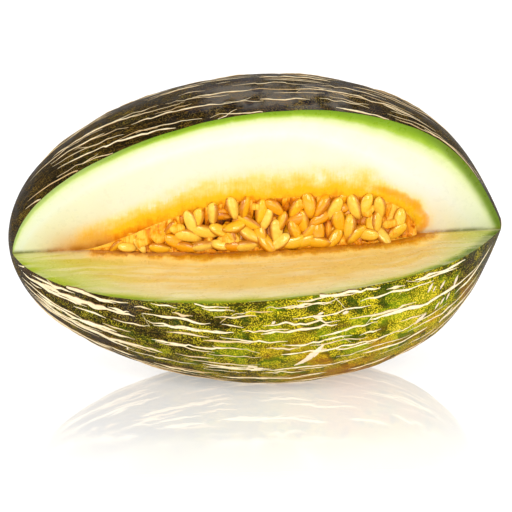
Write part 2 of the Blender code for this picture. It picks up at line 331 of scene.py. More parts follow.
class Heap:
    """Many small closed bodies that go into one piece."""

    def __init__(self):
        self.points = []
        self.faces = []
        self.marks = {}

    def add_tube(self, rings, marks):
        """A closed body over rings of points, with marks for each ring or each of its points.

        The first and the last ring may be single points.
        """
        rings = [np.atleast_2d(ring) for ring in rings]
        starts = []
        for ring in rings:
            starts.append(len(self.points))
            self.points.extend(ring)
        for k in range(len(rings) - 1):
            a, b = len(rings[k]), len(rings[k + 1])
            near, far = starts[k], starts[k + 1]
            for i in range(max(a, b)):
                j = (i + 1) % max(a, b)
                corners = [near + i % a, far + i % b, far + j % b, near + j % a]
                self.faces.append(list(dict.fromkeys(corners)))
        for k in (0, -1):
            if len(rings[k]) > 2:
                self.faces.append([starts[k] + i for i in range(len(rings[k]))])
        for key, values in marks.items():
            for value, ring in zip(values, rings):
                value = [value] * len(ring) if np.ndim(value) == 0 else list(value)
                self.marks.setdefault(key, []).append(value)

    def make(self, name, look, node):
        """Makes one piece of all that was added."""
        marks = {key: np.concatenate(values) for key, values in self.marks.items()}
        add_piece(name, self.points, self.faces, look, node, marks, weld=False, turn_out=True)


# Short ways to write shader nodes


def colour(red, green, blue):
    """A screen colour of 0 to 255 as the shader's own light values."""
    parts = []
    for part in (red, green, blue):
        part = part / 255
        parts.append(part / 12.92 if part <= 0.04045 else ((part + 0.055) / 1.055) ** 2.4)
    return (*parts, 1.0)


def node(tree, kind, inputs=None, **settings):
    """Adds a node. Each input is a value or the output socket that feeds it."""
    made = tree.nodes.new("ShaderNode" + kind)
    for key, value in settings.items():
        setattr(made, key, value)
    for key, value in (inputs or {}).items():
        socket = made.inputs[key]
        if isinstance(value, bpy.types.NodeSocket):
            tree.links.new(value, socket)
        else:
            socket.default_value = value
    return made


def calc(tree, operation, first, second=0.0):
    """One step of sums on values."""
    return node(tree, "Math", {0: first, 1: second}, operation=operation).outputs[0]


def times(tree, first, second):
    return calc(tree, "MULTIPLY", first, second)


def plus(tree, first, second):
    return calc(tree, "ADD", first, second)


def minus(tree, first, second):
    return calc(tree, "SUBTRACT", first, second)


def axis_of(tree, vector, axis):
    """One part of a vector: 0, 1 or 2 for x, y or z."""
    return node(tree, "SeparateXYZ", {0: vector}).outputs[axis]


def remap(tree, value, low, high, to_low=0.0, to_high=1.0):
    """Softly turns the range low to high into to_low to to_high, and stops there."""
    inputs = {0: value, 1: low, 2: high, 3: to_low, 4: to_high}
    return node(tree, "MapRange", inputs, interpolation_type="SMOOTHSTEP").outputs[0]


def blend(tree, share, first, second, mode="MIX"):
    """The first colour at share 0 and the second at share 1."""
    inputs = {0: share, 6: first, 7: second}
    return node(tree, "Mix", inputs, data_type="RGBA", blend_type=mode, clamp_factor=True).outputs[2]


def tinted(tree, base, share, strength, tint):
    """Lays a tint over a colour, as strong as the share says and never stronger than strength."""
    return blend(tree, times(tree, share, strength), base, tint)


def ramp(tree, value, stops):
    """A colour for a value, from (place, colour) stops."""
    made = node(tree, "ValToRGB", {0: value})
    elements = made.color_ramp.elements
    while len(elements) < len(stops):
        elements.new(1.0)
    for element, (place, tint) in zip(elements, stops):
        element.position = place
        element.color = tint
    return made.outputs[0]


def noise(tree, vector, scale, detail=3.0, roughness=0.5, distortion=0.0):
    """Cloudy noise, about 0 to 1."""
    inputs = {"Vector": vector, "Scale": scale, "Detail": detail, "Roughness": roughness}
    inputs["Distortion"] = distortion
    return node(tree, "TexNoise", inputs).outputs["Fac"]


def cells(tree, vector, scale, feature="F1"):
    """The distance to the middle or, for some features, the edge of cells."""
    inputs = {"Vector": vector, "Scale": scale}
    return node(tree, "TexVoronoi", inputs, feature=feature).outputs["Distance"]


def stretched(tree, vector, scale):
    """A place with each of its axes made longer or shorter."""
    return node(tree, "Mapping", {"Vector": vector, "Scale": scale}).outputs[0]


def mark(tree, name, output="Fac"):
    """A point attribute of the piece."""
    return node(tree, "Attribute", attribute_name=name).outputs[output]


def place(tree):
    """The place on the fruit, in metres."""
    return node(tree, "TexCoord").outputs["Object"]


def new_group(name, inputs, outputs):
    """An empty shader node group with named sockets, and its input and output nodes."""
    tree = bpy.data.node_groups.new(name, "ShaderNodeTree")
    for label, kind, value in inputs:
        socket = tree.interface.new_socket(label, in_out="INPUT", socket_type="NodeSocket" + kind)
        if value is not None:
            socket.default_value = value
    for label, kind in outputs:
        tree.interface.new_socket(label, in_out="OUTPUT", socket_type="NodeSocket" + kind)
    return tree, tree.nodes.new("NodeGroupInput").outputs, tree.nodes.new("NodeGroupOutput").inputs


def use(tree, group, inputs):
    """Places a shared effect in a look, with its own values."""
    return node(tree, "Group", inputs, node_tree=group).outputs


def new_look(name, **sockets):
    """A material with a Principled shader whose plain sockets are set here."""
    made = bpy.data.materials.new(name)
    made.use_nodes = True
    shader = made.node_tree.nodes["Principled BSDF"]
    for key, value in sockets.items():
        shader.inputs[key.replace("_", " ")].default_value = value
    return made.node_tree, shader, made


def finish_look(tree, shader, base, roughness, height, strength, distance):
    """Joins a look's colour, roughness and relief to its shader."""
    tree.links.new(base, shader.inputs["Base Color"])
    tree.links.new(roughness, shader.inputs["Roughness"])
    bump = node(tree, "Bump", {"Strength": strength, "Distance": distance, "Height": height})
    tree.links.new(bump.outputs[0], shader.inputs["Normal"])


# Effects that more than one look uses


def cork_grain_group():
    """Fine dry cork: a shade from pale to brown, and its relief."""
    tree, given, out = new_group(
        "cork_grain",
        [("Vector", "Vector", None), ("Fineness", "Float", 900.0)],
        [("Shade", "Float"), ("Height", "Float")],
    )
    broad = noise(tree, given["Vector"], times(tree, given["Fineness"], 0.22), 4, 0.6)
    fine = noise(tree, given["Vector"], given["Fineness"], 3, 0.7)
    shade = plus(tree, times(tree, broad, 0.6), times(tree, fine, 0.4))
    tree.links.new(remap(tree, shade, 0.35, 0.65), out["Shade"])
    tree.links.new(fine, out["Height"])
    return tree


def fibre_group():
    """Wet fibres that run one way through the flesh and the pulp."""
    tree, given, out = new_group(
        "wet_fibres",
        [("Vector", "Vector", None), ("Across", "Float", 0.5), ("Along", "Float", 0.06)],
        [("Streaks", "Float"), ("Height", "Float")],
    )
    scale = node(tree, "CombineXYZ", {0: given["Across"], 1: given["Along"], 2: given["Along"]}).outputs[0]
    run = node(tree, "VectorMath", {0: given["Vector"], 1: scale}, operation="MULTIPLY").outputs[0]
    broad = noise(tree, run, 1.0, 3, 0.55, 0.6)
    fine = noise(tree, run, 3.1, 3, 0.6, 0.3)
    streaks = plus(tree, times(tree, broad, 0.62), times(tree, fine, 0.38))
    tree.links.new(remap(tree, streaks, 0.36, 0.64), out["Streaks"])
    tree.links.new(fine, out["Height"])
    return tree


def wet_film_group():
    """Juice that lies unevenly on a cut surface: a roughness and a soft relief."""
    tree, given, out = new_group(
        "wet_film",
        [
            ("Vector", "Vector", None),
            ("Fineness", "Float", 300.0),
            ("Wettest", "Float", 0.18),
            ("Driest", "Float", 0.42),
        ],
        [("Roughness", "Float"), ("Height", "Float")],
    )
    film = noise(tree, given["Vector"], given["Fineness"], 3, 0.6)
    drops = cells(tree, given["Vector"], times(tree, given["Fineness"], 1.7), "SMOOTH_F1")
    roughness = remap(tree, film, 0.35, 0.65, given["Wettest"], given["Driest"])
    tree.links.new(roughness, out["Roughness"])
    tree.links.new(plus(tree, film, times(tree, drops, -0.5)), out["Height"])
    return tree


cork_grain = cork_grain_group()
wet_fibres = fibre_group()
wet_film = wet_film_group()


# The looks


def rind_look():
    """Toad-skin rind: dark green with yellow specks, ripening to gold on its sunny side."""
    warm = (1.0, 0.82, 0.55, 1.0)
    tree, shader, made = new_look("melon_rind", Specular_IOR_Level=0.025, Specular_Tint=warm)
    where = place(tree)
    run = mark(tree, "rind_place", "Vector")
    painted_sheen = mark(tree, "painted_sheen")

    # How ripe the skin is, in patches and in streaks along the fruit
    patches = minus(tree, noise(tree, where, 46, 4, 0.55), 0.5)
    long_run = stretched(tree, run, (0.035, 0.22, 1))
    streaks = minus(tree, noise(tree, long_run, 1.0, 4, 0.6, 0.5), 0.5)
    ripe = plus(tree, mark(tree, "ripeness"), times(tree, patches, 0.55))
    ripe = plus(tree, ripe, times(tree, streaks, 0.45))
    skin = ramp(tree, ripe, [
        (0.00, colour(16, 12, 4)),
        (0.30, colour(34, 27, 8)),
        (0.44, colour(42, 42, 8)),
        (0.56, colour(74, 72, 8)),
        (0.72, colour(128, 132, 8)),
        (1.00, colour(176, 152, 20)),
    ])
    fleck = ramp(tree, ripe, [
        (0.00, colour(96, 72, 24)),
        (0.28, colour(136, 108, 36)),
        (0.44, colour(182, 168, 38)),
        (0.62, colour(226, 202, 38)),
        (1.00, colour(244, 214, 80)),
    ])

    # Ragged specks that crowd together in clouds
    clouds = noise(tree, where, 150, 4, 0.6, 0.4)
    grains = noise(tree, where, 1900, 2, 0.6)
    crowding = times(tree, minus(tree, clouds, 0.5), 0.9)
    crowding = plus(tree, crowding, remap(tree, ripe, 0.15, 0.7, 0.29, 0.47))
    ragged = times(tree, minus(tree, grains, 0.5), 0.5)
    ragged = plus(tree, cells(tree, where, 1420), ragged)
    speck = remap(tree, minus(tree, crowding, ragged), -0.05, 0.10)
    base = blend(tree, speck, skin, fleck)

    # Dark blotches, leafy patches and sunburn
    blotch = remap(tree, noise(tree, where, 118, 3, 0.5, 0.3), 0.56, 0.60)
    blotch = times(tree, blotch, remap(tree, ripe, 0.30, 0.52))
    base = tinted(tree, base, blotch, 0.82, colour(40, 62, 8))
    leafy = remap(tree, noise(tree, where, 75, 3), 0.47, 0.6)
    leafy = times(tree, leafy, remap(tree, ripe, 0.4, 0.6))
    base = tinted(tree, base, leafy, 0.4, colour(118, 150, 12))
    sunburn = remap(tree, noise(tree, where, 34, 3), 0.50, 0.62)
    sunburn = times(tree, sunburn, mark(tree, "sunburn"))
    base = tinted(tree, base, sunburn, 0.55, colour(186, 116, 14))

    # The painted sheen: a grey-blue painted highlight on the rind, with dark blue-black patches and grey
    # flecks in it
    sheen_tint = blend(tree, remap(tree, painted_sheen, 0.55, 0.9), colour(66, 60, 66), colour(122, 116, 108))
    sheen_patch = times(tree, remap(tree, noise(tree, where, 62, 3), 0.40, 0.56), painted_sheen)
    base = tinted(tree, base, sheen_patch, 0.72, sheen_tint)
    sheen_dark_patch = times(tree, remap(tree, noise(tree, where, 96, 2), 0.57, 0.64), painted_sheen)
    base = tinted(tree, base, sheen_dark_patch, 0.8, colour(30, 30, 40))
    base = tinted(tree, base, times(tree, speck, painted_sheen), 0.45, colour(150, 128, 78))

    # Fine cracks along the fruit, and painted shade that darkens and browns the underside
    cracks = noise(tree, stretched(tree, run, (0.06, 0.85, 1)), 1.0, 3, 0.55, 0.7)
    from_crack = calc(tree, "ABSOLUTE", minus(tree, cracks, 0.5))
    crack = remap(tree, from_crack, 0.0, 0.016, 1.0, 0.0)
    base = tinted(tree, base, crack, 0.45, colour(168, 120, 44))
    base = blend(tree, mark(tree, "underside_shade"), base, colour(222, 200, 140), "MULTIPLY")

    roughness = remap(tree, clouds, 0.3, 0.7, 0.36, 0.56)
    height = plus(tree, times(tree, speck, 0.35), times(tree, crack, 0.6))
    height = plus(tree, height, times(tree, grains, 0.4))
    finish_look(tree, shader, base, roughness, height, strength=0.5, distance=0.00035)
    return made


def cork_look(name, pale, brown, edge):
    """Dry cork of the net and the scars. The mark crest is 1 on the top of a line and 0 at its foot."""
    tree, shader, made = new_look(name, Specular_IOR_Level=0.25)
    grain = use(tree, cork_grain, {"Vector": place(tree), "Fineness": 1400.0})
    base = blend(tree, times(tree, grain["Shade"], 0.35), pale, brown)
    base = tinted(tree, base, mark(tree, "tone"), 0.8, brown)
    base = blend(tree, remap(tree, mark(tree, "crest"), 0.1, 0.75, 0.92, 0.0), base, edge)
    roughness = remap(tree, grain["Shade"], 0.0, 1.0, 0.62, 0.85)
    finish_look(tree, shader, base, roughness, grain["Height"], strength=0.4, distance=0.0003)
    return made


def flesh_look():
    """Cut flesh: lime green under the rind, white-cream inside it and orange by the seeds."""
    tree, shader, made = new_look(
        "melon_flesh",
        Specular_IOR_Level=0.30,
        Specular_Tint=(1.0, 0.93, 0.72, 1.0),
        Subsurface_Weight=0.22,
        Subsurface_Radius=(0.9, 0.75, 0.35),
        Subsurface_Scale=0.006,
    )
    where = place(tree)
    run = mark(tree, "cut_place", "Vector")
    lower = mark(tree, "lower_face")
    cloud = minus(tree, noise(tree, where, 130, 4, 0.6), 0.5)

    # From the rind inwards, on the upper face and on the lower one. The lower face's colours are the
    # flesh's own made darker and yellower, as painted shade and painted bounced light from the seeds
    rim = times(tree, mark(tree, "rim_depth"), 0.125)
    rim = plus(tree, rim, times(tree, cloud, 0.10))
    upper_tint = ramp(tree, rim, [
        (0.00, colour(102, 138, 10)),
        (0.10, colour(126, 160, 20)),
        (0.16, colour(160, 188, 60)),
        (0.22, colour(206, 216, 148)),
        (0.38, colour(226, 227, 202)),
        (0.72, colour(231, 230, 219)),
        (1.00, colour(234, 227, 204)),
    ])
    lower_shaded_tint = ramp(tree, rim, [
        (0.00, colour(112, 136, 10)),
        (0.10, colour(138, 158, 24)),
        (0.17, colour(180, 182, 74)),
        (0.34, colour(216, 206, 142)),
        (0.70, colour(228, 204, 138)),
        (1.00, colour(230, 196, 112)),
    ])
    base = blend(tree, lower, upper_tint, lower_shaded_tint)

    # Greener towards both ends, and leafy green at the tip of the stem end. The lower face's green is
    # darker and more saturated, as painted shade
    green = blend(tree, lower, colour(206, 216, 154), colour(176, 192, 46))
    base = tinted(tree, base, mark(tree, "green_end"), 0.68, green)
    leafy = plus(tree, mark(tree, "leafy_tip"), times(tree, cloud, 0.35))
    base = tinted(tree, base, remap(tree, leafy, 0.05, 0.98), 0.96, colour(90, 116, 0))

    # The orange glow by the seeds, uneven along its fibres
    fibres = use(tree, wet_fibres, {"Vector": run, "Across": 0.55, "Along": 0.06})
    reach = mark(tree, "seed_glow")
    uneven = plus(tree, times(tree, fibres["Streaks"], 0.24), times(tree, cloud, 1.7))
    uneven = times(tree, minus(tree, uneven, 0.12), remap(tree, reach, 0.0, 0.5, 0.05, 0.6))
    glow = plus(tree, reach, uneven)
    for low, high, tint in (
        (0.00, 0.40, colour(244, 216, 134)),
        (0.18, 0.76, colour(244, 188, 26)),
        (0.80, 1.16, colour(238, 154, 14)),
        (1.05, 1.45, colour(214, 120, 4)),
    ):
        base = blend(tree, remap(tree, glow, low, high), base, tint)
    arc = plus(tree, mark(tree, "arc"), times(tree, cloud, 0.9))
    base = tinted(tree, base, remap(tree, arc, 0.25, 1.0), 0.72, colour(238, 156, 0))
    # Painted shadow of the seeds: a darker orange-brown on the lower face close to them
    seed_shadow_tint = times(tree, remap(tree, glow, 0.34, 0.85), lower)
    base = tinted(tree, base, seed_shadow_tint, 0.85, colour(194, 122, 14))

    # Beige at the blossom end, and painted shade in the crease where the two cuts meet
    base = tinted(tree, base, mark(tree, "beige"), 0.95, colour(222, 162, 72))
    crease_shade = times(tree, mark(tree, "crease_shade"), remap(tree, cloud, -0.15, 0.1, 0.5, 1.0))
    from_middle = calc(tree, "ABSOLUTE", minus(tree, axis_of(tree, run, 0), -12.0))
    to_green = remap(tree, from_middle, 92.0, 112.0)
    crease_shade_tint = blend(tree, to_green, colour(178, 108, 12), colour(112, 116, 8))
    base = blend(tree, crease_shade, base, crease_shade_tint)

    # A ragged painted shadow that the seeds cast on the lower face, lobed under them
    lobes = noise(tree, stretched(tree, run, (0.24, 0.0, 0.0)), 1.0, 2, 0.6)
    ragged_seed_shadow = minus(tree, times(tree, lobes, 19.0), plus(tree, axis_of(tree, run, 1), 4.6))
    ragged_seed_shadow = times(tree, remap(tree, ragged_seed_shadow, 0.0, 2.2), remap(tree, glow, 0.2, 0.55))
    base = tinted(tree, base, times(tree, ragged_seed_shadow, lower), 0.88, colour(188, 118, 12))

    # Pale streaks along the lower face
    long_fibres = use(tree, wet_fibres, {"Vector": run, "Across": 0.014, "Along": 0.15})
    pale = times(tree, remap(tree, long_fibres["Streaks"], 0.3, 1.0), 0.42)
    pale = times(tree, pale, remap(tree, glow, 0.1, 0.5, 1.0, 0.2))
    base = blend(tree, times(tree, pale, lower), base, colour(236, 224, 186))

    juice = {"Vector": where, "Fineness": 240.0, "Wettest": 0.24, "Driest": 0.46}
    film = use(tree, wet_film, juice)
    height = times(tree, fibres["Height"], remap(tree, glow, 0.1, 0.9))
    finish_look(tree, shader, base, film["Roughness"], height, strength=0.3, distance=0.0005)
    return made


def pulp_look():
    """Orange pulp, wet and fibrous, with painted shade that turns it brown where it lies deep between the
    seeds.
    """
    tree, shader, made = new_look(
        "seed_pulp",
        Specular_IOR_Level=0.5,
        Specular_Tint=(1.0, 0.78, 0.45, 1.0),
        Subsurface_Weight=0.1,
        Subsurface_Radius=(1.0, 0.5, 0.12),
        Subsurface_Scale=0.002,
    )
    run = mark(tree, "cut_place", "Vector")
    fibres = use(tree, wet_fibres, {"Vector": run, "Across": 0.9, "Along": 0.12})
    # Painted shade: the pulp is brown where it lies deep between the seeds and paler on its swells
    shade = times(tree, mark(tree, "crest"), 0.75)
    shade = plus(tree, shade, times(tree, fibres["Streaks"], 0.35))
    base = ramp(tree, shade, [
        (0.00, colour(52, 20, 2)),
        (0.28, colour(124, 54, 4)),
        (0.50, colour(214, 116, 6)),
        (0.76, colour(246, 164, 18)),
        (1.00, colour(252, 200, 70)),
    ])
    juice = {"Vector": place(tree), "Fineness": 420.0, "Wettest": 0.12, "Driest": 0.34}
    film = use(tree, wet_film, juice)
    height = plus(tree, fibres["Height"], times(tree, film["Height"], 0.6))
    finish_look(tree, shader, base, film["Roughness"], height, strength=0.5, distance=0.0006)
    return made


def seed_look():
    """Plump seeds in a thin wet skin, cream in the middle and orange at the edge and the tip."""
    tree, shader, made = new_look(
        "melon_seeds",
        Specular_IOR_Level=0.5,
        Specular_Tint=(1.0, 0.78, 0.4, 1.0),
        Subsurface_Weight=0.08,
        Subsurface_Radius=(1.0, 0.6, 0.2),
        Subsurface_Scale=0.0015,
        Coat_Weight=0.65,
        Coat_Roughness=0.04,
    )
    where = place(tree)
    fibres = use(tree, wet_fibres, {"Vector": where, "Across": 500.0, "Along": 500.0})
    base = ramp(tree, mark(tree, "tone"), [
        (0.00, colour(250, 216, 92)),
        (0.35, colour(246, 192, 32)),
        (0.65, colour(242, 166, 6)),
        (0.85, colour(228, 142, 2)),
        (1.00, colour(186, 102, 0)),
    ])
    tip = times(tree, remap(tree, mark(tree, "seed_along"), 0.0, 0.28, 1.0, 0.0), 0.7)
    edge = times(tree, remap(tree, mark(tree, "seed_side"), 0.62, 0.98), 0.85)
    base = blend(tree, calc(tree, "MAXIMUM", tip, edge), base, colour(180, 94, 0))
    base = tinted(tree, base, fibres["Streaks"], 0.25, colour(228, 140, 8))
    juice = {"Vector": where, "Fineness": 700.0, "Wettest": 0.10, "Driest": 0.28}
    film = use(tree, wet_film, juice)
    height = plus(tree, fibres["Height"], film["Height"])
    finish_look(tree, shader, base, film["Roughness"], height, strength=0.25, distance=0.0003)
    return made


# The rind

RIND_STATIONS = 280
RIND_COLUMNS = 290

# The marks rind_place and cut_place are in millimetres. Round the axis, an angle of 1 radian
# counts for RUN_PER_RADIAN millimetres
PER_METRE = 1000
RUN_PER_RADIAN = 57

# Where the rind is ripe: degrees round the axis, and x
BELLY_FROM = (225, 300)
UNDER_CUT = (322, 350)
UNDER_CUT_LOSS = 0.30
SUN_RISES = (-0.085, 0.045)
SUN_FALLS = (0.070, 0.106)
SUN_LOSS = 0.85
SUNNY = 0.30
UNRIPE = 0.22
BACK = (120, 200)
BACK_RIPER_BY = 0.06
BLOSSOM_END = (-0.12, -0.06)
BLOSSOM_RIPER_BY = 0.12

# Where it is burnt by the sun
BURN_ROUND = ((254, 284), (318, 342))
BURN_ALONG = (-0.05, 0.04)
BURN_FADES = (0.085, 0.11)
BURN_LOSS = 0.5

# Where a grey painted sheen lies on the rind: on its top, in a band under the lower cut and at the stem
# end
TOP_SHEEN_ROUND = ((55, 66), (78, 100))
TOP_SHEEN_ALONG = ((-0.06, -0.02), (0.035, 0.07))
TOP_SHEEN = 0.85
BAND_ROUND = (329, 339)
BAND_ALONG = (0.035, 0.06)
BAND_SHEEN = 0.35
TIP_ALONG = (0.092, 0.106)
TIP_SHEEN = 0.6

# How far down the side the painted shade on the underside starts, and where it is full
UNDERSIDE_SHADE = (0.55, 0.95)


def ripeness(x, angle):
    """0 is the dark unripe green and 1 the gold of the side that lay in the sun."""
    turned = degrees_round(angle)
    belly = smooth_step(turned, *BELLY_FROM) * (1 - UNDER_CUT_LOSS * smooth_step(turned, *UNDER_CUT))
    sunny = belly * smooth_step(x, *SUN_RISES) * (1 - SUN_LOSS * smooth_step(x, *SUN_FALLS))
    shaded = UNRIPE + BLOSSOM_RIPER_BY * belly * smooth_step(x, *BLOSSOM_END)
    return shaded + BACK_RIPER_BY * smooth_step(turned, *BACK) + SUNNY * sunny


def sunburn(x, angle):
    """Where the rind that faced the sun has turned orange: low on the right."""
    along = smooth_step(x, *BURN_ALONG) * (1 - BURN_LOSS * smooth_step(x, *BURN_FADES))
    return band(degrees_round(angle), *BURN_ROUND) * along


def painted_sheen(x, angle):
    """Where a grey painted sheen, a painted highlight, lies on the rind."""
    turned = degrees_round(angle)
    top = TOP_SHEEN * band(turned, *TOP_SHEEN_ROUND) * band(x, *TOP_SHEEN_ALONG)
    under_cut = BAND_SHEEN * smooth_step(turned, *BAND_ROUND) * smooth_step(-x, *BAND_ALONG)
    return np.clip(top + under_cut + TIP_SHEEN * smooth_step(x, *TIP_ALONG), 0, 1)


def build_rind(look):
    """The skin all round the fruit, from the upper cut over the back to the lower cut."""
    x = stations(-BLOSSOM_LENGTH, STEM_LENGTH, RIND_STATIONS, (CUT_FROM, CUT_TO))
    upper = rim_angle(x, UPPER_CUT)
    lower = rim_angle(x, LOWER_CUT) + 2 * math.pi
    share = np.linspace(0, 1, RIND_COLUMNS)
    angle = upper[:, None] + share * (lower - upper)[:, None]
    across = np.broadcast_to(x[:, None], angle.shape)
    run = np.stack((across * PER_METRE, angle * RUN_PER_RADIAN, 0 * angle), -1)
    marks = {
        "ripeness": ripeness(across, angle),
        "sunburn": sunburn(across, angle),
        # painted sheen: where the rind gets a grey painted highlight
        "painted_sheen": painted_sheen(across, angle),
        # painted shade that darkens the underside
        "underside_shade": smooth_step(-np.sin(angle), *UNDERSIDE_SHADE),
        "rind_place": run.reshape(-1, 3),
    }
    points = rind_point(across, angle)
    faces = grid_faces(len(x), RIND_COLUMNS)
    add_piece("rind", points, faces, look, "melon_body", marks)


# The flesh

FLESH_STATIONS = 300
UPPER_COLUMNS = 62
LOWER_COLUMNS = 46
WALL_COLUMNS = 12
COLUMN_CROWDING = 1.25
FLESH_SWELLS = swells(seed=8, count=12, shortest=0.010, longest=0.040)
FLESH_SWELL_HEIGHT = 0.00022
CALM_BY_RIND = 0.004
CALM_BY_SEEDS = 0.003
FIBRE_SWELLS = swells(seed=21, count=10, shortest=0.0035, longest=0.008)
FIBRE_HEIGHT = 0.00035
FIBRE_REACH = 0.007
FIBRE_STRETCH = np.array((1.0, 0.12, 0.12))
UPPER_FACING = np.array((0.0, -1.0, 0.4))
LOWER_FACING = np.array((0.0, -0.15, 1.0))

# How far the orange by the seeds reaches, and how deep it is there: at the blossom end, in the
# middle and at the stem end
UPPER_GLOW_REACH = (0.0210, 0.0260, 0.0150)
UPPER_GLOW_DEPTH = (1.42, 1.02, 1.05)
LOWER_GLOW_REACH = (0.0140, 0.0190, 0.0210)
LOWER_GLOW_DEPTH = (1.25, 1.34, 1.35)
GLOW_BLOSSOM_END = (-0.066, -0.036)
GLOW_STEM_END = (0.048, 0.066)
GLOW_FALLOFF = 1.6
OPENING_FROM_RADIUS = 0.0015
OPENING_STRIDE = 4

# The darker arc round the stem end of the seeds: its distance from them, its width, and where
# along the fruit it starts
ARC_DISTANCE = 0.0066
ARC_WIDTH = 0.0026
ARC_ALONG = (0.030, 0.066)

# The green under the rind: its width in the middle, and how much wider it gets to the ends
UPPER_RIM_WIDTH = 0.0023
UPPER_RIM_STEM = (0.0030, (0.0, 0.09))
LOWER_RIM_WIDTH = 0.0022
LOWER_RIM_STEM = (0.0016, (0.06, 0.11))
LOWER_RIM_BLOSSOM = (0.0010, (0.07, 0.12))
GREEN_BLOSSOM_END = (0.045, 0.115)
GREEN_STEM_END = (0.075, 0.112)
UPPER_GREEN = 0.55
LEAFY_ALONG = (0.05, 0.105)
LEAFY_REACH = 0.0036
LEAFY_REACH_STEM = (0.0088, (0.07, 0.112))
LEAFY_FULL = 1.25

# The painted shade in the crease beyond the seeds, where the cuts meet, and the beige flesh along it
BEYOND_SEEDS = (0.001, 0.004)
BLOSSOM_SIDE = (0.06, 0.09)
CREASE_WIDTH = 0.0015
CREASE_WIDER_BY = (0.0016, (-0.122, -0.095))
CREASE_DEPTH = 0.85
CREASE_DEEPER_BY = (0.15, (-0.128, -0.092))
BEIGE_REACH = 0.0125
BEIGE_ALONG = (-0.124, -0.095)
BEIGE_START = 0.3
LOWER_BEIGE = 0.3

# Small bites that the seeds have left in the edge of the lower face
BITE_PITCH = 0.0056
BITE_DEPTH = 0.0011
BITE_REACH = 0.0022
BITE_SWAYS = ((0.35, 0.0041), (0.3, 0.0097))
BITE_UNEVEN = (0.55, 0.45, 0.0063)
BITE_ROUNDNESS = 0.7
BITE_CAVITY_RADIUS = (0.003, 0.009)


def along_opening(x, values):
    """Blends three values: at the blossom end, in the middle and at the stem end of the seeds."""
    blossom = 1 - smooth_step(x, *GLOW_BLOSSOM_END)
    stem = smooth_step(x, *GLOW_STEM_END)
    return values[0] * blossom + values[1] * (1 - blossom - stem) + values[2] * stem


def bites(x):
    """How deep the lower face's edge by the seeds is bitten, as an offset at each x."""
    phase = x / BITE_PITCH + sum(size * np.sin(x / length) for size, length in BITE_SWAYS)
    least, more, length = BITE_UNEVEN
    bite = np.abs(np.sin(np.pi * phase)) ** BITE_ROUNDNESS * (least + more * np.sin(x / length))
    fade = smooth_step(cavity_radius(x), *BITE_CAVITY_RADIUS)
    return -np.stack((0 * x, 0 * x, BITE_DEPTH * bite * fade), -1)


def growing(start, more, value):
    """A size that grows by more[0] while the value goes from more[1][0] to more[1][1]."""
    return start + more[0] * smooth_step(value, *more[1])


def rim_width(x, upper):
    """How far the green under the rind reaches into a cut face."""
    if upper:
        return growing(UPPER_RIM_WIDTH, UPPER_RIM_STEM, x)
    return growing(growing(LOWER_RIM_WIDTH, LOWER_RIM_STEM, x), LOWER_RIM_BLOSSOM, -x)


def swollen(points, from_seeds, from_rim, has_seeds, facing):
    """The points of a cut face with its soft swells, and its fibres by the seeds."""
    calm = smooth_step(from_rim, 0, CALM_BY_RIND) * smooth_step(from_seeds, 0, CALM_BY_SEEDS)
    by_seeds = np.exp(-from_seeds / FIBRE_REACH) * has_seeds[:, None]
    fibres = FIBRE_HEIGHT * sum_of(FIBRE_SWELLS, points * FIBRE_STRETCH) * by_seeds
    swell = (FLESH_SWELL_HEIGHT * sum_of(FLESH_SWELLS, points) + fibres) * calm
    return points + swell[..., None] * facing / np.linalg.norm(facing)


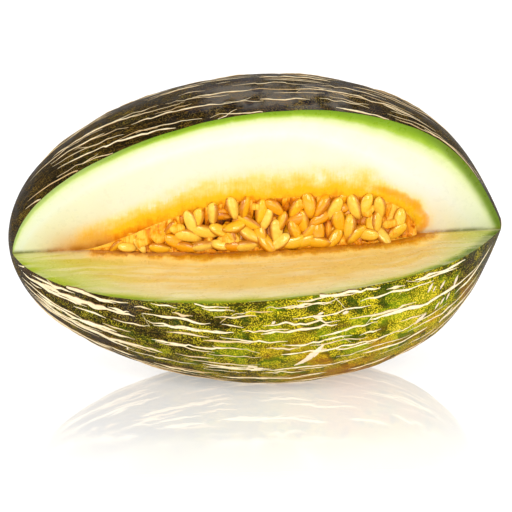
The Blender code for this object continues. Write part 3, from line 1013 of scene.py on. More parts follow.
def cut_face(x, cut, columns):
    """The points of a cut face from the cavity's edge to the rind, and its marks."""
    upper = cut is UPPER_CUT
    share = np.linspace(0, 1, columns) ** COLUMN_CROWDING
    inner = in_space(x, edge_of_cavity(x, cut))
    rim = rind_point(x, rim_angle(x, cut))
    points = inner[:, None] + share[:, None] * (rim - inner)[:, None]
    length = np.linalg.norm(rim - inner, axis=-1)[:, None]
    from_seeds = share * length
    from_rim = (1 - share) * length
    has_seeds = cavity_radius(x) > 0
    points = swollen(points, from_seeds, from_rim, has_seeds, UPPER_FACING if upper else LOWER_FACING)
    if not upper:
        points = points + bites(x)[:, None] * np.exp(-from_seeds / BITE_REACH)[..., None]

    # The glow, by the distance to the opening of the cavity
    opening = inner[cavity_radius(x) > OPENING_FROM_RADIUS][::OPENING_STRIDE]
    to_opening = np.linalg.norm(points[:, :, None] - opening[None, None], axis=-1).min(-1)
    reach = along_opening(x, UPPER_GLOW_REACH if upper else LOWER_GLOW_REACH)[:, None]
    depth = along_opening(x, UPPER_GLOW_DEPTH if upper else LOWER_GLOW_DEPTH)[:, None]
    arc = np.exp(-(((to_opening - ARC_DISTANCE) / ARC_WIDTH) ** 2))

    # The green ends, the painted shade in the crease, and the beige flesh beyond the seeds
    ends = smooth_step(-x, *GREEN_BLOSSOM_END) + smooth_step(x, *GREEN_STEM_END)
    leafy_reach = growing(LEAFY_REACH, LEAFY_REACH_STEM, x)[:, None]
    leafy = np.clip(LEAFY_FULL - from_rim / leafy_reach, 0, 1)
    column = x[:, None]
    beyond = 1 - smooth_step(cavity_radius(x), *BEYOND_SEEDS)[:, None]
    blossom_side = smooth_step(-column, *BLOSSOM_SIDE)
    crease_width = CREASE_WIDTH + blossom_side * growing(0, CREASE_WIDER_BY, column)
    crease_depth = CREASE_DEPTH + blossom_side * growing(0, CREASE_DEEPER_BY, column)
    beige = blossom_side * smooth_step(column, *BEIGE_ALONG) * beyond**BEIGE_START
    run = np.stack((np.broadcast_to(column, from_rim.shape), from_seeds, 0 * from_rim), -1)
    return points, {
        "rim_depth": from_rim / rim_width(x, upper)[:, None],
        "seed_glow": depth * np.clip(1 - to_opening / reach, 0, 1) ** GLOW_FALLOFF,
        # painted shade along the crease where the cuts meet
        "crease_shade": np.exp(-((from_seeds / crease_width) ** 2)) * beyond * crease_depth,
        "beige": beige * np.exp(-((from_seeds / BEIGE_REACH) ** 2)) * (1 if upper else LOWER_BEIGE),
        "leafy_tip": smooth_step(column, *LEAFY_ALONG) * leafy,
        "arc": arc * smooth_step(points[..., 0], *ARC_ALONG) * upper,
        "green_end": np.broadcast_to(ends[:, None] * (UPPER_GREEN if upper else 1), from_rim.shape),
        "lower_face": np.full_like(from_rim, not upper),
        "cut_place": run * PER_METRE,
    }


def cavity_wall(x, columns):
    """The wall behind the pulp, from the lower cut round the back to the upper cut."""
    middle = cavity_middle(x)
    low = edge_of_cavity(x, LOWER_CUT) - middle
    high = edge_of_cavity(x, UPPER_CUT) - middle
    start = np.arctan2(low[:, 1], low[:, 0])
    end = np.arctan2(high[:, 1], high[:, 0])
    share = np.arange(1, columns) / columns
    angle = (start + 2 * np.pi)[:, None] + share * (end - start - 2 * np.pi)[:, None]
    round_it = np.stack((np.cos(angle), np.sin(angle)), -1)
    return in_space(x[:, None], middle[:, None] + cavity_radius(x)[:, None, None] * round_it)


def build_flesh(look):
    """Both cut faces and the wall behind the pulp, as one surface."""
    x = stations(CUT_FROM, CUT_TO, FLESH_STATIONS, (CAVITY_FROM, CAVITY_TO))
    low_points, low_marks = cut_face(x, LOWER_CUT, LOWER_COLUMNS)
    high_points, high_marks = cut_face(x, UPPER_CUT, UPPER_COLUMNS)
    wall = cavity_wall(x, WALL_COLUMNS)
    points = np.concatenate((low_points[:, ::-1], wall, high_points), 1)
    marks = {}
    for key, high in high_marks.items():
        between = np.repeat(high[:, :1], wall.shape[1], 1)
        joined = np.concatenate((low_marks[key][:, ::-1], between, high), 1)
        marks[key] = joined.reshape(-1, 3) if joined.ndim == 3 else joined
    faces = grid_faces(len(x), points.shape[1])
    add_piece("flesh", points, faces, look, "melon_body", marks)


# The net and the scars

# The raised lines: half their width and their rise, their tone from pale to brown, the fine
# steps along them, and how thin they get in a kink
NET_FINE_STEP = 0.0014
NET_WIDTH = 0.00060
NET_WIDTH_VARIES = (0.7, 1.3)
NET_RISE_KEPT = 0.95
NET_ROOT = 0.0006
NET_TONE = (0.0, 0.22)
KINK_SPACING = (0.0016, 0.0060)
KINK_SIZE = 0.00050
KINK_FULL_RADIUS = 0.06
KINK_LEAST = 0.25
KINK_SWELL = (0.35, 1.4)
TORN_EDGE = (0.78, 1.22)
WIDTH_LIMITS = (0.12, 1.5)
LEAST_HALF_WIDTH = 0.00012
TAPER_STEPS = 3
TAPER_LEAST = 0.15
SMALLEST_LINE_RADIUS = 0.006
RIM_MARGIN = 0.004

# Lines are thinner and browner on the top, browner underneath and wider at the blossom end.
# The first two go by the sine of the angle round the axis
LINE_TOP = (0.3, 0.9)
LINE_UNDERSIDE = (0.75, 0.95)
LINE_BLOSSOM_END = (0.02, 0.08)
TOP_THINNER_BY = 0.58
BLOSSOM_WIDER_BY = 0.6
TOP_BROWNER_BY = 0.18
UNDERSIDE_BROWNER_BY = 0.35
BROWNEST_LINE = 0.85

# The hair-fine lines between them
HAIR_SEED = 29
HAIR_ROWS = 124
HAIR_ROW_JITTER = 0.4
HAIR_FROM = -0.127
HAIR_START_JITTER = 0.01
HAIR_TO = 0.112
HAIR_LAST_MIDDLE = 0.11
HAIR_END = 0.1135
HAIR_LENGTH = (0.006, 0.040)
HAIR_SHORTEST = 0.004
HAIR_BREAK = (0.002, 0.018)
HAIR_STEP = 0.006
HAIR_WANDER = 0.0009
HAIR_BLUNT_END = 0.12
HAIR_WIDTH = (0.00020, 0.00058)
HAIR_RISE = 0.00026
HAIR_TONE = 0.35
HAIR_BROWNEST = 0.8
SMALLEST_TURN_RADIUS = 0.012

# How many of them are kept: fewer on the sunny belly, on the top and where the fruit is thin
HAIR_KEPT = 0.92
BARE_ALONG = (-0.04, 0.05)
BARE_ROUND = (250, 290)
BARE_LOSS = 0.5
BARE_TOP = (0.5, 0.9)
BARE_TOP_LOSS = 0.4
KEPT_WHERE_THIN = 0.25

BRANCH_SHARE = 0.2
BRANCH_LENGTH = (0.004, 0.011)
BRANCH_SLANT = (0.25, 1.1)
BRANCH_STEPS = 4
BRANCH_THINNING = 0.85
BRANCH_SPAN = (-0.128, 0.112)

# A line across its width: share of its half width, share of its rise or of its root, crest
NET_PROFILE = (
    (-1.7, -0.6, 0.0),
    (-1.25, 0.2, 0.1),
    (-0.76, 0.9, 1.0),
    (0.76, 0.9, 1.0),
    (1.25, 0.2, 0.1),
    (1.7, -0.6, 0.0),
)

# Cork scars on the rind: (x, angle in degrees, length, half width, slant in degrees)
CORK_SCARS = (
    (0.0190, -37.5, 0.0190, 0.00200, 52),
    (0.0150, -41.5, 0.0110, 0.00130, 38),
    (0.0225, -35.0, 0.0100, 0.00120, 66),
    (-0.0078, -47.0, 0.0070, 0.00180, 30),
    (-0.0100, -44.5, 0.0050, 0.00100, -10),
    (0.0356, -17.1, 0.0030, 0.00120, 15),
    (0.0219, -17.9, 0.0055, 0.00120, -28),
    (0.0235, -16.2, 0.0030, 0.00080, 20),
    (0.0006, -19.0, 0.0022, 0.00090, 40),
    (0.0138, -12.5, 0.0040, 0.00080, 18),
    (0.0779, -14.7, 0.0052, 0.00090, 62),
    (0.0800, -16.4, 0.0030, 0.00060, 66),
    (0.0843, -16.3, 0.0044, 0.00080, 58),
    (0.0914, -18.7, 0.0060, 0.00090, 70),
    (0.0820, -28.5, 0.0040, 0.00080, 60),
    (0.0846, -27.4, 0.0036, 0.00070, 58),
    (0.0875, -26.5, 0.0040, 0.00070, 64),
    (0.0734, -31.8, 0.0072, 0.00150, 38),
    (0.0860, -44.9, 0.0048, 0.00110, 24),
    (0.0895, -43.0, 0.0036, 0.00080, 40),
    (-0.0725, -48.6, 0.0034, 0.00050, 84),
    (0.0420, 118.0, 0.0080, 0.00140, 40),
    (-0.0500, 164.0, 0.0100, 0.00150, -48),
    (-0.0460, 168.0, 0.0060, 0.00110, -30),
    (0.0300, 205.0, 0.0120, 0.00170, 35),
    (0.0700, 232.0, 0.0060, 0.00130, 70),
)
SCAR_SEED = 41
SCAR_STEPS = 14
SCAR_RISE = 0.00042
SCAR_ROOT = 0.0005
SCAR_RAGGED = (0.7, 1.3)
SCAR_ROUGH = (0.6, 1.2)
SCAR_TONE = (0.0, 0.2)
SCAR_END = 0.04
SCAR_ROUNDNESS = 0.6
SMALLEST_SCAR_RADIUS = 0.01

# A scar across its width: share of its half width, rise, crest
SCAR_PROFILE = (
    (-1.0, -SCAR_ROOT, 0.0),
    (-0.72, 0.55 * SCAR_RISE, 0.75),
    (-0.25, SCAR_RISE, 1.0),
    (0.25, SCAR_RISE, 1.0),
    (0.72, 0.55 * SCAR_RISE, 0.75),
    (1.0, -SCAR_ROOT, 0.0),
)

# The round scar at an end: share of its radius, share of its rise, crest
STEM_SCAR_FROM = 0.1184
BLOSSOM_SCAR_FROM = -0.1335
END_SCAR_SIDES = 28
END_SCAR_ROUGH = (0.75, 1.25)
END_SCAR_TONE = 0.9
END_SCAR_PIT_CREST = 0.2
END_SCAR_PROFILE = (
    (1.00, -1.2, 0.0),
    (0.94, 0.7, 0.35),
    (0.72, 1.0, 0.62),
    (0.46, 0.5, 0.2),
    (0.22, 0.7, 0.5),
)


def net_lines():
    """The raised lines of the solids, each a list of (x, angle, share of full width)."""
    draw = random.Random(NET_SEED)
    lines = []
    for row in range(NET_ROWS):
        row_angle = 2 * math.pi * (row + draw.uniform(-1, 1) * NET_ROW_JITTER) / NET_ROWS
        x = NET_FROM + draw.uniform(0, NET_LENGTH[0])
        while x < NET_TO - NET_LENGTH[0]:
            length = min(draw.uniform(*NET_LENGTH), NET_TO - x)
            steps = max(2, round(length / NET_STEP))
            drift = draw.uniform(-1, 1) * NET_WANDER * NET_DRIFT
            side = draw.uniform(-1, 1) * NET_WANDER
            crowded = row % 2 and melon_radius(x + length / 2) < NET_THIN_RADIUS
            line = []
            for i in range(steps + 1):
                here = x + length * i / steps
                side += drift + draw.uniform(-1, 1) * NET_WANDER
                share = math.sin(math.pi * (i + NET_BLUNT_END) / (steps + 2 * NET_BLUNT_END)) ** 0.5
                line.append((here, row_angle + side / melon_radius(here), share))
            if not crowded:
                lines.append(line)
            x += length + draw.uniform(*NET_BREAK)
    return lines


def hair_kept(x, angle, length):
    """The share of the hair-fine lines that is kept where one starts."""
    bare = smooth_step(x, *BARE_ALONG) * smooth_step(degrees_round(angle), *BARE_ROUND)
    crowding = melon_radius(min(x + length / 2, HAIR_LAST_MIDDLE)) / MAX_RADIUS
    by_girth = KEPT_WHERE_THIN + (1 - KEPT_WHERE_THIN) * crowding
    on_top = smooth_step(math.sin(angle), *BARE_TOP)
    return (HAIR_KEPT - BARE_LOSS * bare) * by_girth * (1 - BARE_TOP_LOSS * on_top)


def hair_lines():
    """Finer lines between the raised ones, closer together towards the blossom end."""
    draw = random.Random(HAIR_SEED)
    lines = []
    for row in range(HAIR_ROWS):
        jitter = draw.uniform(-HAIR_ROW_JITTER, HAIR_ROW_JITTER)
        row_angle = 2 * math.pi * (row + jitter) / HAIR_ROWS
        x = HAIR_FROM + draw.uniform(0, HAIR_START_JITTER)
        while x < HAIR_TO:
            length = draw.uniform(*HAIR_LENGTH)
            kept = draw.random() < hair_kept(x, row_angle, length)
            steps = max(2, round(length / HAIR_STEP))
            side = 0.0
            line = []
            for i in range(steps + 1):
                here = min(x + length * i / steps, HAIR_END)
                side += draw.uniform(-1, 1) * HAIR_WANDER
                share = math.sin(math.pi * (i + HAIR_BLUNT_END) / (steps + 2 * HAIR_BLUNT_END))
                turn = side / max(melon_radius(here), SMALLEST_TURN_RADIUS)
                line.append((here, row_angle + turn, share))
            if kept and line[-1][0] > line[0][0] + HAIR_SHORTEST:
                lines.append(line)
            x += length + draw.uniform(*HAIR_BREAK)
    return lines


def branches(lines, draw):
    """Short side lines that leave some of the others at a slant."""
    made = []
    for line in lines:
        if draw.random() > BRANCH_SHARE:
            continue
        x, angle, share = line[draw.randrange(len(line))]
        length = draw.uniform(*BRANCH_LENGTH)
        way = draw.choice((-1, 1))
        slant = draw.uniform(*BRANCH_SLANT) * draw.choice((-1, 1))
        twig = []
        for i in range(BRANCH_STEPS + 1):
            along = length * i / BRANCH_STEPS
            here = x + way * along * math.cos(slant)
            if not BRANCH_SPAN[0] < here < BRANCH_SPAN[1]:
                break
            turn = along * math.sin(slant) / max(float(melon_radius(here)), SMALLEST_TURN_RADIUS)
            twig.append((here, angle + turn, share * (1 - BRANCH_THINNING * i / BRANCH_STEPS)))
        if len(twig) > 2:
            made.append(twig)
    return made


def kinked_path(line, draw):
    """The line at fine steps, with the small kinks and the uneven width of torn cork."""
    knots = np.array(line)
    start, end = knots[0, 0], knots[-1, 0]
    places = [0.0]
    length = abs(end - start) + 1e-4
    while places[-1] < length:
        places.append(places[-1] + draw.uniform(*KINK_SPACING))
    kinks = [draw.gauss(0, KINK_SIZE) for _ in places]
    swell = [draw.uniform(*KINK_SWELL) for _ in places]
    along = np.linspace(0, length, max(4, round(length / NET_FINE_STEP)) + 1)
    torn = np.array([draw.uniform(*TORN_EDGE) for _ in along])
    share = along / length
    at = np.linspace(0, 1, len(knots))
    x = start + (end - start) * share
    angle = np.interp(share, at, knots[:, 1])
    width = np.interp(share, at, knots[:, 2]) * np.interp(along, places, swell) * torn
    return x, angle, np.interp(along, places, kinks), np.clip(width, *WIDTH_LIMITS)


def add_net_line(heap, line, half_width, rise, tone, draw):
    """Adds a line of cork wherever the rind isn't cut away."""
    x, angle, kinks, share = kinked_path(line, draw)
    radius = np.maximum(melon_radius(x), SMALLEST_LINE_RADIUS)
    angle = angle + kinks * np.clip(radius / KINK_FULL_RADIUS, KINK_LEAST, 1) / radius
    from_end = np.minimum(np.arange(len(x)), np.arange(len(x))[::-1])
    share = share * np.clip(from_end / TAPER_STEPS, TAPER_LEAST, 1)

    height = np.sin(angle.mean())
    on_top = float(smooth_step(height, *LINE_TOP))
    underneath = float(smooth_step(-height, *LINE_UNDERSIDE))
    to_blossom = float(smooth_step(-x.mean(), *LINE_BLOSSOM_END)) * (1 - on_top)
    wider = (1 - TOP_THINNER_BY * on_top) * (1 + BLOSSOM_WIDER_BY * to_blossom)
    width = half_width * share * wider + LEAST_HALF_WIDTH
    browner = TOP_BROWNER_BY * on_top + UNDERSIDE_BROWNER_BY * underneath
    tone = min(BROWNEST_LINE, tone + browner)

    turned = np.mod(angle, 2 * math.pi)
    past_upper = turned > rim_angle(x, UPPER_CUT) + RIM_MARGIN
    on_rind = past_upper & (turned < rim_angle(x, LOWER_CUT) % (2 * math.pi) - RIM_MARGIN)
    side, lift, crest = np.array(NET_PROFILE).T
    for run in np.split(np.arange(len(x)), np.flatnonzero(np.diff(on_rind.astype(int))) + 1):
        if not on_rind[run[0]] or len(run) < 3:
            continue
        rings = []
        for i in run:
            lifted = np.where(lift > 0, lift * rise * min(1.0, share[i]), lift * NET_ROOT)
            rings.append(rind_point(x[i], angle[i] + side * width[i] / radius[i], lifted))
        heap.add_tube(rings, {"crest": [crest] * len(rings), "tone": [tone] * len(rings)})


def build_net(look):
    """The raised lines of the solids, with branches."""
    heap = Heap()
    draw = random.Random(NET_SEED + 1)
    lines = net_lines()
    for line in lines + branches(lines, draw):
        tone = draw.uniform(*NET_TONE)
        half_width = NET_WIDTH * draw.uniform(*NET_WIDTH_VARIES)
        add_net_line(heap, line, half_width, NET_RISE * NET_RISE_KEPT, tone, draw)
    heap.make("net", look, "melon_body")


def build_fine_net(look):
    """Hair-fine lines of cork between the raised ones."""
    heap = Heap()
    draw = random.Random(HAIR_SEED + 1)
    lines = hair_lines()
    for line in lines + branches(lines, draw):
        tone = min(abs(draw.gauss(0.0, HAIR_TONE)), HAIR_BROWNEST)
        add_net_line(heap, line, draw.uniform(*HAIR_WIDTH), HAIR_RISE, tone, draw)
    heap.make("fine_net", look, "melon_body")


def add_end_scar(heap, tip, start, draw):
    """The round dry scar at one end of the fruit, from x = start to its tip."""
    turns = 2 * math.pi * np.arange(END_SCAR_SIDES) / END_SCAR_SIDES
    rings, crests = [], []
    for radius_share, rise_share, crest in END_SCAR_PROFILE:
        x = tip - (tip - start) * radius_share**2
        rough = np.array([draw.uniform(*END_SCAR_ROUGH) for _ in turns])
        rings.append(rind_point(x, turns, SCAR_RISE * rise_share * rough))
        crests.append(crest)
    rings.append(np.array((tip, 0.0, AXIS_HEIGHT - float(droop(tip)))))
    crests.append(END_SCAR_PIT_CREST)
    heap.add_tube(rings, {"crest": crests, "tone": [END_SCAR_TONE] * len(rings)})


def scar_ring(x, degrees, along, half_width, slant, draw):
    """The points across a scar at a distance along it from its middle."""
    radius = max(float(melon_radius(x)), SMALLEST_SCAR_RADIUS)
    ring = []
    for side, lift, _ in SCAR_PROFILE:
        ragged = side * half_width * draw.uniform(*SCAR_RAGGED)
        rough = lift * draw.uniform(*SCAR_ROUGH) if lift > 0 else lift
        here = x + along * math.cos(slant) - ragged * math.sin(slant)
        turn = (along * math.sin(slant) + ragged * math.cos(slant)) / radius
        ring.append(rind_point(here, math.radians(degrees) + turn, rough))
    return np.array(ring)


def build_scars(look):
    """Ragged patches of cork where the rind has healed, and the dry scars of both ends."""
    heap = Heap()
    draw = random.Random(SCAR_SEED)
    crest = [row[2] for row in SCAR_PROFILE]
    for x, degrees, length, half_width, slant in CORK_SCARS:
        rings = []
        for i in range(SCAR_STEPS + 1):
            share = i / SCAR_STEPS
            rounded = min(max(share, SCAR_END), 1 - SCAR_END)
            wide = half_width * math.sin(math.pi * rounded) ** SCAR_ROUNDNESS
            along = (share - 0.5) * length
            rings.append(scar_ring(x, degrees, along, wide, math.radians(slant), draw))
        tones = [draw.uniform(*SCAR_TONE)] * len(rings)
        heap.add_tube(rings, {"crest": [crest] * len(rings), "tone": tones})
    add_end_scar(heap, STEM_LENGTH, STEM_SCAR_FROM, draw)
    add_end_scar(heap, -BLOSSOM_LENGTH, BLOSSOM_SCAR_FROM, draw)
    heap.make("cork_scars", look, "melon_body")


# The pulp and the seeds

PULP_STATIONS = 240
PULP_COLUMNS = 56
PULP_BACK_COLUMNS = 16
PULP_OVERLAP = -0.0003
PULP_SWELLS = swells(17, 14, 0.004, 0.011)
PULP_SWELL_SCALE = np.array((1.0, 0.4, 0.4))
PULP_SWELL_HEIGHT = 0.0009
PULP_OUT = np.array((0.0, -0.8, 0.6))
PULP_BACK_CREST = 0.4

# Between the seeds the pulp lies lower, and at the blossom end it covers them, on its upper part
PULP_SINK = 0.0012
PULP_COVER = 0.0020
PULP_COVER_ACROSS = (0.30, 0.55)

# It is calm by both cuts and where the cavity is thin
PULP_CALM_EDGE = 0.1
PULP_CALM_RADIUS = 0.01


def pulpy(x):
    """How much orange pulp covers the seeds at x: most of them at the blossom end."""
    return 1 - smooth_step(x, -0.066, -0.040)


def pulp_back(x):
    """The points of the pulp's back, round the cavity from the upper cut to the lower one."""
    middle = cavity_middle(x)
    low = edge_of_cavity(x, LOWER_CUT, PULP_OVERLAP) - middle
    high = edge_of_cavity(x, UPPER_CUT, PULP_OVERLAP) - middle
    start = np.arctan2(high[:, 1], high[:, 0])
    end = np.arctan2(low[:, 1], low[:, 0]) + 2 * np.pi
    round_share = np.arange(1, PULP_BACK_COLUMNS) / PULP_BACK_COLUMNS
    angle = start[:, None] + round_share * (end - start)[:, None]
    around = np.stack((np.cos(angle), np.sin(angle)), -1)
    return in_space(x[:, None], middle[:, None] + cavity_radius(x, GAP)[:, None, None] * around)


def build_pulp(look):
    """The pulp that fills the cavity. Its front has soft swells and sinks between the seeds."""
    x = stations(CAVITY_FROM, CAVITY_TO, PULP_STATIONS)[1:-1]
    share = np.linspace(0, 1, PULP_COLUMNS)
    front = in_space(x[:, None], pulp_front(x[:, None], share[None, :], PULP_OVERLAP))
    swell = sum_of(PULP_SWELLS, front * PULP_SWELL_SCALE)
    calm = smooth_step(share, 0, PULP_CALM_EDGE) * smooth_step(1 - share, 0, PULP_CALM_EDGE)
    calm = calm * np.clip(cavity_radius(x) / PULP_CALM_RADIUS, 0, 1)[:, None]
    covering = pulpy(x)[:, None]
    cover = covering * smooth_step(share, *PULP_COVER_ACROSS)
    sink = PULP_SINK * (1 - covering) - PULP_COVER * cover
    front = front + ((PULP_SWELL_HEIGHT * swell - sink) * calm)[..., None] * PULP_OUT
    back = pulp_back(x)
    points = np.concatenate((front, back), 1)

    # its value for the colour ramp is higher at both ends, on the swells and by the cuts. The low value
    # elsewhere is painted shade that keeps the pulp brown between the seeds, and the swells' gain is
    # painted light
    stem_end = 0.46 * smooth_step(x, 0.044, 0.062)[:, None]
    tone_and_shade = 0.26 + stem_end + 0.20 * covering + 0.36 * cover + 0.30 * swell * calm + 0.35 * (1 - calm)
    crest = np.concatenate((tone_and_shade, np.full(back.shape[:2], PULP_BACK_CREST)), 1)

    columns = points.shape[1]
    faces = grid_faces(len(x), columns, closed=True)
    faces.append(list(range(columns)))
    faces.append(list(range((len(x) - 1) * columns, len(x) * columns))[::-1])
    marks = {"crest": crest, "cut_place": cut_place(points).reshape(-1, 3)}
    add_piece("pulp", points, faces, look, "seed_cluster", marks, turn_out=True)


def cut_place(points):
    """The mark cut_place for points of the pulp: along, up and into the fruit."""
    return np.asarray(points)[..., (0, 2, 1)] * PER_METRE


def front_at(x, share):
    """A place on the pulp's front, in front of the long axis and above it."""
    front, height = pulp_front(np.array(x), np.array(share))
    return Vector((float(front), float(height)))


def seed_places():
    """Where each seed of the solids lies: its centre, its long axis and its flat side's normal."""
    draw = random.Random(SEED_SEED)
    columns = round((SEED_TO - SEED_FROM) / SEED_PITCH)
    places = []
    for column in range(columns):
        x = SEED_FROM + (column + 0.5) * (SEED_TO - SEED_FROM) / columns
        height = (front_at(x, 1) - front_at(x, 0)).length
        rows = max(1, round(height / SEED_ROW_PITCH))
        for row in range(rows):
            share = (row + 0.5 + draw.uniform(-1, 1) * SEED_JITTER_ACROSS) / rows
            here = x + draw.uniform(-1, 1) * SEED_JITTER_ALONG * SEED_PITCH
            lean = draw.gauss(0, SEED_TOP_LEAN) if row == rows - 1 else draw.uniform(-1, 1) * SEED_LEAN
            if row == 0:
                lean += math.copysign(SEED_BOTTOM_LEAN, lean)
            places.append(seed_place(here, share, lean, draw, SEED_STANDS_OUT))
    return places


def seed_place(here, share, lean, draw, stands_out):
    """Where one seed lies: its centre, its long axis and its flat side's normal."""
    point = front_at(here, share)
    ahead = front_at(here, share + SLOPE_STEP) - front_at(here, share - SLOPE_STEP)
    along = Vector((1, 0, 0))
    up = Vector((0, -ahead.x, ahead.y)).normalized()
    out = along.cross(up)
    tip_out = draw.uniform(-1, 1) * SEED_TIP_OUT
    long_axis = (up * math.cos(lean) + along * math.sin(lean) + out * tip_out).normalized()
    roll = Matrix.Rotation(draw.uniform(-1, 1) * SEED_ROLL, 3, long_axis)
    flat = roll @ (out - long_axis * out.dot(long_axis)).normalized()
    centre = Vector((here, -point.x, AXIS_HEIGHT + point.y)) + out * stands_out
    return centre, long_axis, flat


SEED_RINGS = 12
SEED_SIDES = 16
SEED_SIZE = (0.96, 1.12)
SEED_BEND = 0.06
SEED_PLUMPNESS = (1.05, 1.35)
SEED_FLATNESS = 0.8
SEED_SQUARENESS = 0.86
SEED_END_SIDE = 0.6

# From cream at 0 to orange at 1, and paler towards the stem end
SEED_TONE = 0.28
SEED_TONE_VARIES = 0.24
SEED_TONE_MOST = 0.8
PALER_ALONG = (0.03, 0.06)
PALER_BY = 0.5

# At the blossom end the seeds are smaller, and the upper ones lie under the pulp
SMALL_SEED_SIZE = 0.78
COVERED_SEED_HEIGHT = (0.35, 0.6)
COVERED_SEED_SINK = 0.0022
INTO_THE_PULP = Vector((0, 0.85, -0.5))

# More seeds that lie half sunk between the others
BURIED_SEED_COUNT = 70
BURIED_SEED_DEPTH = -0.0016
BURIED_SEED_FROM = SEED_FROM + 0.006
BURIED_SEED_TO = SEED_TO - 0.004
BURIED_SEED_LEAN = 1.5
BURIED_SEED_ACROSS = (0.12, 0.9)
BURIED_SEED_SIZE = (0.85, 1.0)
BURIED_SEED_TONE = (0.5, 0.92)


def seed_outline(t):
    """Half the seed's width at t along it, from its pointed tip to its round end, at most 1."""
    return 2.12 * t**0.64 * (1 - t) ** 0.46


def add_seed(heap, centre, long_axis, flat, size, tone, draw):
    """A flat drop-shaped seed with a slight bend."""
    across = long_axis.cross(flat)
    bend = draw.uniform(-SEED_BEND, SEED_BEND)
    plump = draw.uniform(*SEED_PLUMPNESS)
    rings, alongs, sides = [], [], []
    for i in range(SEED_RINGS + 1):
        t = 0.5 - 0.5 * math.cos(math.pi * i / SEED_RINGS)
        wide = SEED_WIDTH / 2 * size * seed_outline(t)
        thick = SEED_THICKNESS / 2 * size * plump * seed_outline(t) ** SEED_FLATNESS
        bent = across * bend * SEED_LENGTH * math.sin(math.pi * t)
        middle = centre + long_axis * SEED_LENGTH * size * (t - 0.5) + bent
        ring, side = [], []
        for k in range(SEED_SIDES):
            turn = 2 * math.pi * k / SEED_SIDES
            c, s = math.cos(turn), math.sin(turn)
            c = math.copysign(abs(c) ** SEED_SQUARENESS, c)
            ring.append(np.array(middle + across * (c * wide) + flat * (s * thick)))
            side.append(abs(c))
        at_tip = i in (0, SEED_RINGS)
        rings.append(np.array(middle if at_tip else ring))
        alongs.append(t)
        sides.append(SEED_END_SIDE if at_tip else side)
    heap.add_tube(rings, {"tone": [tone] * len(rings), "seed_along": alongs, "seed_side": sides})


def build_seeds(look):
    """The seeds of the solids, and the half sunk ones between them."""
    heap = Heap()
    draw = random.Random(SEED_SEED + 1)
    for centre, long_axis, flat in seed_places():
        tone = min(SEED_TONE_MOST, abs(draw.gauss(SEED_TONE, SEED_TONE_VARIES)))
        tone = tone * (1 - PALER_BY * float(smooth_step(centre.x, *PALER_ALONG)))
        small = float(pulpy(centre.x))
        low, high = front_at(centre.x, 0).y, front_at(centre.x, 1).y
        height = (centre.z - AXIS_HEIGHT - low) / (high - low)
        covered = small * float(smooth_step(height, *COVERED_SEED_HEIGHT))
        centre = centre + INTO_THE_PULP * COVERED_SEED_SINK * covered
        size = draw.uniform(*SEED_SIZE) * (1 - small * (1 - SMALL_SEED_SIZE))
        add_seed(heap, centre, long_axis, flat, size, tone, draw)
    for _ in range(BURIED_SEED_COUNT):
        here = draw.uniform(BURIED_SEED_FROM, BURIED_SEED_TO)
        lean = draw.uniform(-BURIED_SEED_LEAN, BURIED_SEED_LEAN)
        share = draw.uniform(*BURIED_SEED_ACROSS)
        hidden = seed_place(here, share, lean, draw, BURIED_SEED_DEPTH)
        size = draw.uniform(*BURIED_SEED_SIZE)
        add_seed(heap, *hidden, size, draw.uniform(*BURIED_SEED_TONE), draw)
    heap.make("seeds", look, "seed_cluster")


TONGUE_SEED = 37
TONGUE_PITCH = 0.0062
TONGUE_PITCH_VARIES = (0.6, 1.35)
TONGUE_STEPS = 8
TONGUE_SIDES = 8
TONGUE_HALF_WIDTH = (0.0009, 0.0017)
TONGUE_THICKNESS = 0.0009
TONGUE_LEAN = 0.0016
TONGUE_RISE = 0.0008
TONGUE_LIFT = 0.0001
TONGUE_OUT = np.array((0.0, -0.85, 0.5))
TONGUE_MOST = 0.55
TONGUE_LEAST_HEIGHT = 0.004

# The two rows of them: from and to along the fruit, share of the pitch, the share of the
# pulp's front where they start, which way they go from there, their lengths
TONGUE_ROWS = (
    (-0.084, 0.071, 1.0, 1.02, -1, (0.004, 0.010)),
    (-0.088, 0.072, 0.8, -0.02, 1, (0.0012, 0.0035)),
)


def add_tongue(heap, x, root, reach, half_width, lean):
    """One tongue: it starts at x on the share root of the pulp's front, and gets thinner."""
    rings, crests = [], []
    for i in range(TONGUE_STEPS + 1):
        t = i / TONGUE_STEPS
        here = x + lean * t
        point = pulp_front(np.array(here), np.array(root + reach * t))
        width = half_width * (1 - 0.85 * t**1.5) * (0.8 + 0.4 * math.sin(math.pi * t))
        thick = TONGUE_THICKNESS * (1 - 0.6 * t) * min(1.0, 0.35 + 3 * t)
        stands = TONGUE_RISE * math.sin(math.pi * min(1.0, t * 1.2)) + TONGUE_LIFT
        ring = []
        for k in range(TONGUE_SIDES):
            turn = 2 * math.pi * k / TONGUE_SIDES
            out = stands + thick * math.sin(turn)
            ring.append(in_space(here + width * math.cos(turn), point) + out * TONGUE_OUT)
        rings.append(np.array(ring))
        crests.append(0.45 + 0.45 * (1 - t))
    heap.add_tube(rings, {"crest": crests, "cut_place": [cut_place(ring) for ring in rings]})


def build_tongues(look):
    """Fibrous tongues of pulp that hang from the upper cut and rise from the lower one."""
    heap = Heap()
    draw = random.Random(TONGUE_SEED)
    for from_x, to_x, pitch_share, root, way, lengths in TONGUE_ROWS:
        x = from_x
        while x < to_x:
            x += TONGUE_PITCH * draw.uniform(*TONGUE_PITCH_VARIES) * pitch_share
            height = (front_at(x, 1) - front_at(x, 0)).length
            length = draw.uniform(*lengths)
            reach = min(TONGUE_MOST, length / max(height, TONGUE_LEAST_HEIGHT))
            half_width = draw.uniform(*TONGUE_HALF_WIDTH)
            lean = draw.uniform(-TONGUE_LEAN, TONGUE_LEAN)
            add_tongue(heap, x, root, way * reach, half_width, lean)
    heap.make("pulp_tongues", look, "seed_cluster")


